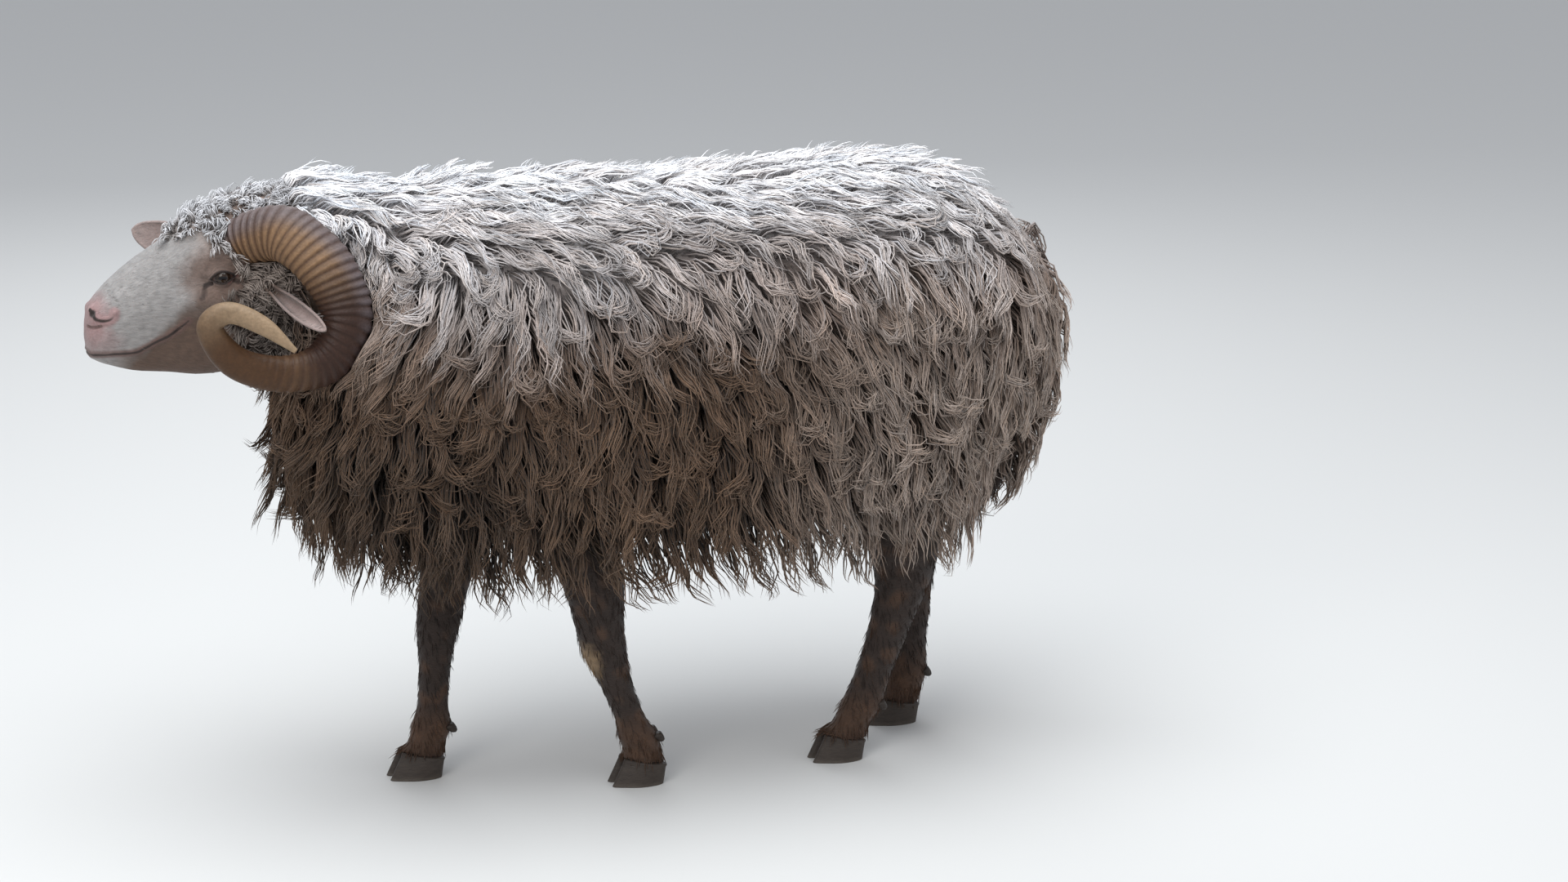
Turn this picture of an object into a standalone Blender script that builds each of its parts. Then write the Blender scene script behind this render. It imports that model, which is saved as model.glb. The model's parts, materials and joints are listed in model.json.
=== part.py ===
# A navajo-churro ram standing at life size, modelled in metres with +Z up.
# It faces -X and its left side is at -Y. It is laid out with z = 0 on the floor and y = 0 on its
# middle plane, and moved at the end so that the origin is under the middle of its box.

import math
import random

import bmesh
import bpy
from mathutils import Vector
from mathutils.bvhtree import BVHTree

# Driving sizes
GAP = 0.0003  # clearance that touching pieces keep
COAT_TOP = 0.046  # depth of the fleece from the skin to the tips, on the back
COAT_SIDE = 0.062
COAT_UNDER = 0.090
COAT_END = 0.040  # over the neck, the chest and the rump
CORE_SHARE = 0.42  # the dense core under the locks, as a share of that depth
RING_POINTS = 18  # points round the trunk
STEPS = 2  # rings between two stations

# Locks of the fleece: each is flat, tapers to its tip and hangs along the body
LOCK_SPACING = 0.076
LOCK_LENGTH = 0.160
FRINGE_Z = 0.240  # the lowest that the locks hang
SPINE_SPACING = 0.058  # locks that lie over the middle of the back, turn about
SPINE_ROOT = 0.045
LOCK_WIDTH = 0.072
LOCK_THICKNESS = 0.022
LOCK_PIECES = 4
LOCK_SWING = 0.007  # sideways wave of a lock
LOCK_WAVE = 5.5  # how far that wave turns down a lock, in radians
LOCK_LEAN = (-0.12, 0.30)  # forward and back
LOCK_LIFT = (0.12, 0.98)  # height of a lock's root and tip, as shares of the coat's depth
LOCK_FILL = 0.75  # how soon a lock rises between the two
SPINE_RISE = (2.4, 0.72)  # the same for the locks of the spine
SIDE_PARTING = 2.2  # how strongly the locks of the back part to the sides
HANG_FROM = 0.15  # locks hang free where the skin faces down by more than this
HANG_OVER = 0.45
NECK_SHARE = 0.75  # length of the locks of the neck
BELLY_HALF = 0.09  # this half width of the belly has some of its locks left out
BELLY_THINNED = 0.2
LOCK_SEED = 11
PLANE_MARGIN = 8.0  # locks that end at a parting plane keep from one to this many gaps from it
LOCK_TAPER = (0.80, 1.00, 0.90, 0.60, 0.05)
# Curls on the poll and the cheeks
CURL_SPACING = 0.0275
CURL_RADIUS = 0.0185
CURL_RISE = -0.05  # the middle of a curl over the skin, as a share of its radius
POLL_X = -0.600  # curls cover the top of the head behind this
POLL_Z = 0.722
POLL_SLOPE = -0.1
TEMPLE_X = -0.535  # and its sides behind this
TEMPLE_Z = 0.640
MIDDLE_HALF = 0.012  # curls nearer to the middle than this have no twin on the other side

# The trunk's skin from the chest to the rump: x, top, bottom and half width
TRUNK = (
    (-0.458, 0.560, 0.490, 0.040),
    (-0.440, 0.622, 0.440, 0.085),
    (-0.385, 0.690, 0.390, 0.125),
    (-0.290, 0.730, 0.358, 0.150),
    (-0.180, 0.731, 0.345, 0.162),
    (-0.060, 0.726, 0.335, 0.174),
    (0.060, 0.725, 0.332, 0.180),
    (0.180, 0.729, 0.352, 0.174),
    (0.290, 0.729, 0.385, 0.158),
    (0.380, 0.692, 0.425, 0.132),
    (0.440, 0.620, 0.475, 0.085),
    (0.462, 0.570, 0.520, 0.040),
)
# The neck's skin: x, centre z, half width and half height
NECK = (
    (-0.240, 0.585, 0.120, 0.130),
    (-0.340, 0.608, 0.094, 0.124),
    (-0.430, 0.640, 0.074, 0.106),
    (-0.480, 0.662, 0.064, 0.092),
    (-0.505, 0.668, 0.046, 0.066),
)
HALVES_X = -0.020  # the plane between the front and the rear of the torso
NECK_FOOT = Vector((-0.345, 0.0, 0.700))  # a point on the plane between the torso and the neck
NECK_SLOPE = Vector((-0.98, 0.0, 0.20)).normalized()  # that plane's normal, towards the head
HEAD_BACK_X = -0.478  # the back of the skull, in the wool of the neck
HEAD_BACK_Z = 0.550  # and the height of the jaw there

# The head's skin from the lips to the poll: x, top, bottom and half width
HEAD = (
    (-0.713, 0.628, 0.590, 0.010),
    (-0.707, 0.645, 0.579, 0.022),
    (-0.692, 0.662, 0.570, 0.030),
    (-0.660, 0.688, 0.562, 0.033),
    (-0.620, 0.714, 0.556, 0.038),
    (-0.585, 0.736, 0.551, 0.050),
    (-0.550, 0.750, 0.553, 0.058),
    (-0.515, 0.757, 0.562, 0.060),
    (-0.478, 0.757, 0.572, 0.064),
)
EYE = Vector((-0.559, -0.0455, 0.673))
EYE_RADIUS = 0.0150
LID_THICKNESS = 0.0032
LID_OPENING = (math.radians(36), math.radians(-28))  # upper and lower edge above the eye's middle
LID_SPAN = math.radians(72)
LID_SLANT = math.radians(-12)
LID_PIECES = 6
# The line of the mouth and a nostril on the left: each x, y, z
MOUTH = ((-0.6045, -0.0390, 0.6190), (-0.6223, -0.0327, 0.6055), (-0.6450, -0.0270, 0.5940),
         (-0.6620, -0.0222, 0.5870), (-0.6900, -0.0180, 0.5855), (-0.7090, -0.0080, 0.5855),
         (-0.7120, 0.0, 0.5870))
MOUTH_DEPTH = 0.0022
NOSTRIL = ((-0.7066, -0.0180, 0.6370), (-0.7037, -0.0251, 0.6292), (-0.6930, -0.0305, 0.6280),
           (-0.6845, -0.0328, 0.6350))
NOSTRIL_DEPTH = 0.0042

# The horn's centre line from its root to its tip: x, y, z and half thickness
HORN = (
    (-0.543, -0.030, 0.703, 0.024),
    (-0.522, -0.051, 0.718, 0.030),
    (-0.489, -0.083, 0.723, 0.0325),
    (-0.450, -0.111, 0.684, 0.0325),
    (-0.434, -0.126, 0.629, 0.0300),
    (-0.460, -0.134, 0.585, 0.0255),
    (-0.512, -0.138, 0.574, 0.0210),
    (-0.566, -0.140, 0.592, 0.0188),
    (-0.595, -0.144, 0.634, 0.0150),
    (-0.574, -0.150, 0.652, 0.0125),
    (-0.538, -0.162, 0.637, 0.0108),
    (-0.504, -0.177, 0.608, 0.0030),
)
HORN_POINTS = 8
HORN_FLATNESS = 0.86  # thickness across the curl over thickness in its plane
RIBBED_SHARE = 0.62  # the ribs fade out towards the tip
RIB_HEIGHT = 0.0022

# Ears: root, tip, greatest half width, and the way that the cup faces
EARS = {
    "ear_left": (Vector((-0.516, -0.064, 0.668)), Vector((-0.468, -0.172, 0.628)), 0.0110,
                 Vector((-0.45, -0.4, 0.6))),
    "ear_right": (Vector((-0.522, 0.064, 0.664)), Vector((-0.630, 0.152, 0.699)), 0.025,
                  Vector((-0.8, -0.5, 0.25))),
}
# Share of the length, share of the half width, and depth of the cup
EAR_SHAPE = ((0.0, 0.55, 0.0125), (0.15, 0.62, 0.0125), (0.35, 0.92, 0.0140), (0.55, 1.0, 0.0120),
             (0.75, 0.88, 0.0085), (0.90, 0.60, 0.0050), (1.0, 0.14, 0.0020))
EAR_ARC = 7  # points across the back of the ear
EAR_WALL = 0.0032
EAR_RIM = 0.0012

# Legs: the middle of each joint from the top down, (x, y, z)
LEGS = {
    "foreleg_left": ((-0.190, -0.076, 0.400), (-0.132, -0.076, 0.285), (-0.109, -0.064, 0.172),
                     (-0.066, -0.057, 0.060), (-0.060, -0.057, 0.034)),
    "foreleg_right": ((-0.235, 0.076, 0.400), (-0.262, 0.076, 0.295), (-0.287, 0.066, 0.190),
                      (-0.301, 0.060, 0.062), (-0.314, 0.060, 0.034)),
    "hindleg_left": ((0.290, -0.078, 0.430), (0.278, -0.080, 0.315), (0.282, -0.068, 0.222),
                     (0.232, -0.057, 0.068), (0.206, -0.057, 0.034)),
    "hindleg_right": ((0.310, 0.078, 0.430), (0.330, 0.080, 0.318), (0.349, 0.068, 0.228),
                      (0.340, 0.057, 0.066), (0.326, 0.057, 0.034)),
}
# Girths: place along the joints (0 is the first joint), half width across and half depth fore and aft
FORE_GIRTHS = ((0.0, 0.038, 0.056), (1.0, 0.032, 0.041), (1.6, 0.026, 0.031), (2.0, 0.025, 0.028),
               (2.35, 0.0175, 0.020), (2.7, 0.0165, 0.019), (3.0, 0.022, 0.026), (3.4, 0.020, 0.023),
               (4.0, 0.025, 0.029))
HIND_GIRTHS = ((0.0, 0.042, 0.090), (0.6, 0.040, 0.074), (1.0, 0.035, 0.058), (1.6, 0.028, 0.044),
               (2.0, 0.024, 0.036), (2.3, 0.020, 0.029), (2.7, 0.018, 0.024), (3.0, 0.023, 0.028),
               (3.4, 0.020, 0.024), (4.0, 0.025, 0.030))
LEG_POINTS = 10

# Each claw of a hoof: half width, half length at the top and at the sole, and how far the toe leads
CLAW_TOP = 0.0337
CLAW_HALF_WIDTH = 0.0125
CLAW_PARTING = 0.0020  # between the two claws of a foot
CLAW_HALF_TOP = 0.026
CLAW_HALF_SOLE = 0.031
TOE_LEAD = 0.008
CLAW_POINTS = 10

# The tail hangs behind the rump: x, z and half thickness with its wool
TAIL = (
    (0.462, 0.650, 0.014),
    (0.490, 0.590, 0.018),
    (0.500, 0.520, 0.018),
    (0.482, 0.430, 0.016),
    (0.447, 0.350, 0.013),
    (0.420, 0.300, 0.006),
)
TAIL_LOCK_LENGTH = 0.085
TAIL_LOCK_WIDTH = 0.038
TAIL_LOCK_THICKNESS = 0.014
TAIL_LOCK_EVERY = 0.026  # from one row of them to the next
TAIL_FAN = 1.35  # turn of the side rows from the one behind, in radians
TAIL_REACH = 0.038  # how far the tail's wool reaches from its middle line
TAIL_ROOM = 0.044  # and the groove for it in the rump

COLOURS = {
    "wool": (0.62, 0.55, 0.46, 1.0),
    "neck_wool": (0.70, 0.65, 0.58, 1.0),
    "face": (0.72, 0.68, 0.63, 1.0),
    "ear": (0.66, 0.54, 0.49, 1.0),
    "eye": (0.06, 0.035, 0.02, 1.0),
    "horn": (0.42, 0.27, 0.13, 1.0),
    "leg": (0.10, 0.055, 0.035, 1.0),
    "hoof": (0.30, 0.25, 0.20, 1.0),
}


def clear_scene():
    for item in list(bpy.data.objects):
        bpy.data.objects.remove(item, do_unlink=True)


def collection(name):
    group = bpy.data.collections.new(name)
    bpy.context.scene.collection.children.link(group)
    return group


def material(name, roughness):
    made = bpy.data.materials.get(name)
    if made is None:
        made = bpy.data.materials.new(name)
        made.use_nodes = True
        shader = made.node_tree.nodes["Principled BSDF"]
        shader.inputs["Base Color"].default_value = COLOURS[name]
        shader.inputs["Roughness"].default_value = roughness
        shader.inputs["Metallic"].default_value = 0.0
    return made


def put(name, mesh, group, finish=None):
    item = bpy.data.objects.new(name, mesh)
    group.objects.link(item)
    if finish:
        item.data.materials.clear()
        item.data.materials.append(finish)
    return item


# Curves through stations

def blend(stations, steps):
    """A Catmull-Rom curve through tuples of numbers, with steps pieces between two stations."""
    points = [Vector(s) for s in stations]
    ends = [points[0] * 2 - points[1]] + points + [points[-1] * 2 - points[-2]]
    out = []
    for i in range(len(points) - 1):
        a, b, c, d = ends[i:i + 4]
        for k in range(steps):
            t = k / steps
            out.append(0.5 * ((2 * b) + (c - a) * t + (2 * a - 5 * b + 4 * c - d) * t * t
                              + (3 * b - a - 3 * c + d) * t ** 3))
    out.append(points[-1])
    return out


def at(table, place):
    """The values of a table of (place, values...) at a place, straight between its rows."""
    for low, high in zip(table, table[1:]):
        if place <= high[0]:
            share = (place - low[0]) / (high[0] - low[0])
            return [a + (b - a) * share for a, b in zip(low[1:], high[1:])]
    return list(table[-1][1:])


def ring(centre, across, upward, half_across, half_up, points, power=2.0):
    """A superellipse of points round a centre, from the top round by +across."""
    out = []
    for k in range(points):
        angle = 2 * math.pi * k / points
        s = math.sin(angle)
        c = math.cos(angle)
        side = math.copysign(abs(s) ** (2 / power), s)
        rise = math.copysign(abs(c) ** (2 / power), c)
        out.append(centre + across * (half_across * side) + upward * (half_up * rise))
    return out


def loft(name, rings, crescent=False):
    """A closed mesh through rings of equal count. A fan closes each end, or on crescents a strip."""
    shape = bmesh.new()
    rows = [[shape.verts.new(p) for p in points] for points in rings]
    count = len(rows[0])
    for low, high in zip(rows, rows[1:]):
        for k in range(count):
            n = (k + 1) % count
            shape.faces.new((low[k], low[n], high[n], high[k]))
    for row in (rows[0], rows[-1]):
        if crescent:
            for k in range(count // 2 - 1):
                shape.faces.new((row[k], row[k + 1], row[count - 2 - k], row[count - 1 - k]))
        else:
            hub = shape.verts.new(sum((v.co for v in row), Vector()) / count)
            for k in range(count):
                shape.faces.new((row[k], row[(k + 1) % count], hub))
    bmesh.ops.recalc_face_normals(shape, faces=shape.faces)
    bmesh.ops.triangulate(shape, faces=shape.faces)
    mesh = bpy.data.meshes.new(name)
    shape.to_mesh(mesh)
    shape.free()
    for face in mesh.polygons:
        face.use_smooth = True
    return mesh


def frames(points):
    """A direction and two square axes at each point of a path, carried along without twist."""
    out = []
    side = None
    for i, p in enumerate(points):
        ahead = (points[min(i + 1, len(points) - 1)] - points[max(i - 1, 0)]).normalized()
        if side is None:
            side = ahead.orthogonal().normalized()
        side = (side - ahead * side.dot(ahead)).normalized()
        out.append((ahead, side, ahead.cross(side).normalized()))
    return out


def room_for(mesh, clearance=GAP * 1.3):
    """A copy of a closed mesh, grown all round, that cuts the room which the piece needs."""
    shape = bmesh.new()
    shape.from_mesh(mesh)
    shape.normal_update()
    moves = [(v, v.normal * (clearance * v.calc_shell_factor())) for v in shape.verts]
    for v, move in moves:
        v.co += move
    made = bpy.data.meshes.new("room")
    shape.to_mesh(made)
    shape.free()
    return made


# The planes that each woolly node stays behind: a point and the normal towards the node
STAYS = {
    "torso_front": ((Vector((HALVES_X, 0, 0)), Vector((-1, 0, 0))), (NECK_FOOT, -NECK_SLOPE)),
    "torso_rear": ((Vector((HALVES_X, 0, 0)), Vector((1, 0, 0))),),
    "neck": ((NECK_FOOT, NECK_SLOPE),),
}


# Boolean work on closed meshes

def combine(item, others, how, solver="EXACT"):
    """Join or cut with a collection of closed objects, keep the result and remove the others."""
    group = collection("work")
    for other in others:
        for old in list(other.users_collection):
            old.objects.unlink(other)
        group.objects.link(other)
    step = item.modifiers.new(how.lower(), "BOOLEAN")
    step.operation = how
    step.operand_type = "COLLECTION"
    step.collection = group
    step.solver = solver
    bpy.context.view_layer.update()
    made = bpy.data.meshes.new_from_object(item.evaluated_get(bpy.context.evaluated_depsgraph_get()))
    item.modifiers.remove(step)
    finish = list(item.data.materials)
    item.data = made
    made.materials.clear()
    for kept in finish:
        made.materials.append(kept)
    for other in list(group.objects):
        bpy.data.objects.remove(other, do_unlink=True)
    bpy.data.collections.remove(group)
    keep_largest(made)


def keep_largest(mesh):
    """Only the largest closed surface stays."""
    shape = bmesh.new()
    shape.from_mesh(mesh)
    bmesh.ops.remove_doubles(shape, verts=shape.verts, dist=0.000002)
    bmesh.ops.triangulate(shape, faces=shape.faces)
    left = set(shape.verts)
    shells = []
    while left:
        first = left.pop()
        shell = {first}
        edge = [first]
        while edge:
            for link in edge.pop().link_edges:
                for v in link.verts:
                    if v not in shell:
                        shell.add(v)
                        edge.append(v)
        left -= shell
        shells.append(shell)
    shells.sort(key=len)
    spare = [v for shell in shells[:-1] for v in shell]
    bmesh.ops.delete(shape, geom=spare, context="VERTS")
    shape.to_mesh(mesh)
    shape.free()
    for face in mesh.polygons:
        face.use_smooth = True


def half_space(name, point, normal, group):
    """A large block on the side of a plane that its normal points to."""
    reach = 2.0
    mesh = bpy.data.meshes.new(name)
    shape = bmesh.new()
    bmesh.ops.create_cube(shape, size=reach)
    turn = normal.to_track_quat("Z", "Y").to_matrix().to_4x4()
    bmesh.ops.transform(shape, matrix=turn, verts=shape.verts)
    bmesh.ops.translate(shape, vec=point + normal.normalized() * (reach / 2), verts=shape.verts)
    shape.to_mesh(mesh)
    shape.free()
    return put(name, mesh, group)


# The trunk and the neck, at any share of the fleece's depth: 0 is the skin and 1 the tips

def trunk_rings(share):
    rings = []
    stations = blend(TRUNK, STEPS)
    count = len(stations) - 1
    for i, (x, top, bottom, half) in enumerate(stations):
        top += COAT_TOP * share
        bottom -= COAT_UNDER * share
        half += COAT_SIDE * share
        lead = 2 * i / count - 1
        x += COAT_END * share * math.copysign(abs(lead) ** 3, lead)
        middle = Vector((x, 0, (top + bottom) / 2))
        rings.append(ring(middle, Vector((0, 1, 0)), Vector((0, 0, 1)), half, (top - bottom) / 2,
                          RING_POINTS, 2.2))
    return rings


def neck_rings(share):
    rings = []
    for x, z, half, rise in blend(NECK, STEPS):
        rings.append(ring(Vector((x, 0, z)), Vector((0, 1, 0)), Vector((0, 0, 1)),
                          half + COAT_END * share, rise + COAT_END * share, RING_POINTS))
    return rings


def body_skin():
    """The skin of the trunk and the neck, for the locks to follow."""
    points = []
    faces = []
    for rings in (trunk_rings(0.0), neck_rings(0.0)):
        mesh = loft("skin", rings)
        start = len(points)
        points += [v.co.copy() for v in mesh.vertices]
        faces += [tuple(start + i for i in f.vertices) for f in mesh.polygons]
        bpy.data.meshes.remove(mesh)
    return BVHTree.FromPolygons(points, faces), points, faces


def depth_at(normal):
    """How deep the fleece is where the skin faces this way."""
    if normal.z > 0:
        depth = COAT_SIDE + (COAT_TOP - COAT_SIDE) * normal.z
    else:
        depth = COAT_SIDE - (COAT_UNDER - COAT_SIDE) * normal.z
    return depth + (COAT_END - depth) * min(1.0, normal.x * normal.x)


def scatter(points, faces, spacing, chance, wanted):
    """Roots spread evenly over a surface: random places on its faces, none nearer than the spacing."""
    areas = []
    total = 0.0
    for face in faces:
        a, b, c = (points[i] for i in face)
        total += (b - a).cross(c - a).length / 2
        areas.append(total)
    roots = []
    for trial in range(int(total / spacing ** 2 * 40)):
        pick = chance.uniform(0, total)
        low, high = 0, len(areas) - 1
        while low < high:
            middle = (low + high) // 2
            low, high = (low, middle) if areas[middle] >= pick else (middle + 1, high)
        a, b, c = (points[i] for i in faces[low])
        u, v = chance.random(), chance.random()
        if u + v > 1:
            u, v = 1 - u, 1 - v
        place = a + (b - a) * u + (c - a) * v
        normal = (b - a).cross(c - a).normalized()
        if wanted(place, normal) and all((place - other).length > spacing for other, n in roots):
            roots.append((place, normal))
    return roots


def lock_path(root, normal, skin, length, chance, over=0):
    """Stations down a lock: its middle, the way across it and the way out of the coat.

    A lock of the spine goes over the middle of the back, to the side that over names.
    """
    phase = chance.uniform(0, 2 * math.pi)
    lean = chance.uniform(*LOCK_LEAN)
    place = root.copy()
    outward = normal.copy()
    stations = []
    for k in range(LOCK_PIECES + 1):
        share = k / LOCK_PIECES
        near, facing, index, away = skin.find_nearest(place)
        if k:
            outward = (outward + facing).normalized()
        depth = depth_at(facing)
        quick, even = SPINE_RISE
        rise = min(quick * share, even + (1 - even) * share) if over else share ** LOCK_FILL
        height = depth * (LOCK_LIFT[0] + (LOCK_LIFT[1] - LOCK_LIFT[0]) * rise)
        hang = min(1.0, max(0.0, (-facing.z - HANG_FROM) / HANG_OVER))
        if k:
            height = height + (max(height, (place - near).dot(facing)) - height) * hang
        middle = near + facing * height
        middle = middle.lerp(place, hang * 0.7) if k else middle
        parting = math.copysign(max(0.0, facing.z - 0.25) * SIDE_PARTING, over or root.y)
        lie = Vector((lean, parting, -1.0))
        along = (lie - facing * lie.dot(facing)).lerp(lie, hang).normalized()
        across = facing.cross(along).normalized()
        wave = across * (LOCK_SWING * math.sin(phase + share * LOCK_WAVE))
        stations.append((middle + wave, across, across.cross(along).normalized() * -1.0))
        place = middle + along * (length / LOCK_PIECES)
    return stations


def lock_mesh(stations, width, thickness, stays=(), margin=GAP):
    """A lock through its stations, each ring moved to the right side of the planes it stays behind."""
    rings = []
    for (middle, across, outward), taper in zip(stations, LOCK_TAPER):
        if (outward.dot(stations[0][2])) < -0.5:
            outward = -outward
        half = width * taper / 2
        rise = thickness * taper
        points = [middle - across * half - outward * (rise * 0.3), middle + outward * (rise * 0.7),
                  middle + across * half - outward * (rise * 0.3)]
        for point, normal in stays:
            short = min((p - point).dot(normal) for p in points) - margin
            if short < 0:
                points = [p - normal * short for p in points]
        rings.append(points)
    return loft("lock", rings)


def clear_of(stations, rooms):
    """Stations moved out of the way of the legs, horns and tail."""
    out = []
    for middle, across, outward in stations:
        for room, reach in rooms:
            near, facing, index, away = room.find_nearest(middle)
            if near is None:
                continue
            inside = (middle - near).dot(facing) < -0.7 * away
            if inside and away < LOCK_SPACING:
                middle = near + facing * reach
            elif away < reach and not inside:
                middle = near + (middle - near).normalized() * reach
        out.append((middle, across, outward))
    return out


def tree_of(mesh):
    points = [v.co.copy() for v in mesh.vertices]
    return BVHTree.FromPolygons(points, [tuple(f.vertices) for f in mesh.polygons])


def add_locks(coat, group):
    """Locks over the trunk and the neck, each fused to the node that its root is in."""
    chance = random.Random(LOCK_SEED)
    skin, points, faces = body_skin()
    head = loft("head", head_rings())
    inside_head = tree_of(head)
    rooms = [(tree_of(leg_mesh(name)), LOCK_THICKNESS) for name in LEGS]
    rooms += [(tree_of(horn_mesh()), LOCK_THICKNESS), (tree_of(mirrored(horn_mesh())), LOCK_THICKNESS)]
    rooms.append((tree_of(tail_mesh(TAIL_ROOM / TAIL[1][2])), LOCK_THICKNESS))

    def wanted(place, normal):
        near, facing, index, away = skin.find_nearest(place + normal * 0.03)
        if (near - place).length > 0.02:
            return False
        on_head = place.x < HEAD_BACK_X and place.z > HEAD_BACK_Z
        between_legs = normal.z < -0.6 and abs(place.y) < BELLY_HALF and chance.random() < BELLY_THINNED
        return not on_head and not between_legs

    roots = [(root, normal, 0) for root, normal in scatter(points, faces, LOCK_SPACING, chance, wanted)
             if abs(root.y) > SPINE_ROOT or root.z < EYE.z]
    over = 1
    x = HEAD_BACK_X + SPINE_SPACING / 2
    while x < TRUNK[-3][0]:
        top = skin.ray_cast(Vector((x, -over * SPINE_ROOT, 1.0)), Vector((0, 0, -1)))
        roots.append((top[0], top[1], over))
        over = -over
        x += SPINE_SPACING * chance.uniform(0.85, 1.15)

    locks = {name: [] for name in coat}
    for root, normal, over in roots:
        if (root - NECK_FOOT).dot(NECK_SLOPE) > 0:
            name = "neck"
        else:
            name = "torso_front" if root.x < HALVES_X else "torso_rear"
        size = chance.uniform(0.86, 1.14)
        short = NECK_SHARE if name == "neck" else 1.0
        length = min(LOCK_LENGTH * size * short, (root.z - FRINGE_Z) * chance.uniform(0.9, 1.1))
        stations = lock_path(root, normal, skin, length, chance, over)
        stations = clear_of(stations, rooms)
        margin = GAP * chance.uniform(1.0, PLANE_MARGIN)
        mesh = lock_mesh(stations, LOCK_WIDTH * size, LOCK_THICKNESS * size, STAYS[name], margin)
        locks[name].append(put("lock", mesh, group))
    for name, pieces in locks.items():
        combine(coat[name], pieces, "UNION", "MANIFOLD")


def body_core(name, share, group):
    """The trunk and the neck as one closed piece."""
    whole = put(name, loft(name, trunk_rings(share)), group)
    combine(whole, [put("neck_core", loft("neck_core", neck_rings(share)), group)], "UNION")
    return whole


def make_coat(group, wool, neck_wool):
    """The woolly body in three nodes, parted by thin gaps."""
    made = {}
    for name, planes in STAYS.items():
        node = body_core(name, CORE_SHARE, group)
        node.data.materials.append(neck_wool if name == "neck" else wool)
        for point, normal in planes:
            edge = point + normal.normalized() * (GAP / 2)
            combine(node, [half_space("half", edge, normal, group)], "INTERSECT")
        made[name] = node
    return made


# The head and what it carries

def head_rings():
    rings = []
    for x, top, bottom, half in blend(HEAD, STEPS):
        middle = Vector((min(x, HEAD_BACK_X), 0, (top + bottom) / 2))
        rings.append(ring(middle, Vector((0, 1, 0)), Vector((0, 0, 1)), half, (top - bottom) / 2, 16, 2.3))
    return rings


def mirrored(mesh):
    """The same closed mesh on the other side of the middle plane."""
    made = mesh.copy()
    for v in made.vertices:
        v.co.y = -v.co.y
    made.flip_normals()
    return made


def horn_mesh():
    """The left horn: a ribbed cone along its curl."""
    path = blend([s[:3] for s in HORN], 3)
    girth = blend([(s[3], 0) for s in HORN], 3)
    flats = frames(path)
    count = len(path) - 1
    rings = []
    for i, p in enumerate(path):
        place = i / count
        ahead, side, other = flats[i]
        outward = Vector((0, -1, 0)) + ahead * ahead.y
        outward.normalize()
        inward = ahead.cross(outward).normalized()
        rib = RIB_HEIGHT * max(0.0, 1 - place / RIBBED_SHARE) ** 0.5 * (i % 2)
        half = girth[i][0] + rib
        rings.append(ring(p, inward, outward, half, half * HORN_FLATNESS, HORN_POINTS, 2.2))
    return loft("horn", rings)


def make_horns(group, finish):
    left = put("horn_left", horn_mesh(), group, finish)
    right = put("horn_right", mirrored(left.data), group, finish)
    return left, right


def ear_mesh(name):
    """An ear with its cup: rings that are crescents, wide open at mid length and closed at the tip."""
    root, tip, half, faces = EARS[name]
    ahead = (tip - root).normalized()
    faces = (faces - ahead * faces.dot(ahead)).normalized()
    across = ahead.cross(faces).normalized()
    length = (tip - root).length
    rings = []
    for place, width, depth in EAR_SHAPE:
        centre = root + ahead * (length * place)
        wide = half * width
        wall = min(EAR_WALL, depth)
        outer = []
        inner = []
        for k in range(EAR_ARC):
            angle = math.pi * k / (EAR_ARC - 1)
            c = math.cos(angle)
            s = math.sin(angle)
            outer.append(centre + across * (wide * c) - faces * (depth * s))
            inner.append(centre + across * (max(wide - wall, EAR_RIM) * c)
                         - faces * ((depth - wall) * s - EAR_RIM))
        rings.append(outer + inner[::-1])
    return loft(name, rings, crescent=True)


def ear_room(name):
    """The space that an ear and its cup take up, with clearance all round."""
    shape = bmesh.new()
    shape.from_mesh(ear_mesh(name))
    hull = bmesh.ops.convex_hull(shape, input=shape.verts)
    spare = [v for v in set(hull["geom_interior"] + hull["geom_unused"]) if isinstance(v, bmesh.types.BMVert)]
    bmesh.ops.delete(shape, geom=spare, context="VERTS")
    old = [f for f in shape.faces if f not in set(hull["geom"])]
    bmesh.ops.delete(shape, geom=old, context="FACES")
    bmesh.ops.recalc_face_normals(shape, faces=shape.faces)
    mesh = bpy.data.meshes.new(name)
    shape.to_mesh(mesh)
    shape.free()
    return room_for(mesh)


def make_ears(group, finish):
    return [put(name, ear_mesh(name), group, finish) for name in EARS]


def ball(name, centre, radius, rings, segments, group):
    shape = bmesh.new()
    bmesh.ops.create_uvsphere(shape, u_segments=segments, v_segments=rings, radius=radius)
    bmesh.ops.translate(shape, vec=centre, verts=shape.verts)
    mesh = bpy.data.meshes.new(name)
    shape.to_mesh(mesh)
    shape.free()
    for face in mesh.polygons:
        face.use_smooth = True
    return put(name, mesh, group)


def make_eyes(group, finish):
    made = []
    for name, side in (("eye_left", 1), ("eye_right", -1)):
        eye = ball(name, Vector((EYE.x, EYE.y * side, EYE.z)), EYE_RADIUS, 6, 10, group)
        eye.data.materials.append(finish)
        made.append(eye)
    return made


def sweep(name, path, radius, sides, flatness=1.0):
    """A thin rod along a path, for lids and for the cutters of the mouth and nostrils."""
    count = len(path) - 1
    rings = []
    for i, (p, (ahead, side, other)) in enumerate(zip(path, frames(path))):
        half = radius * (0.55 if i in (0, count) else 1.0)
        rings.append(ring(p, side, other, half, half * flatness, sides))
    return loft(name, rings)


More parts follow.
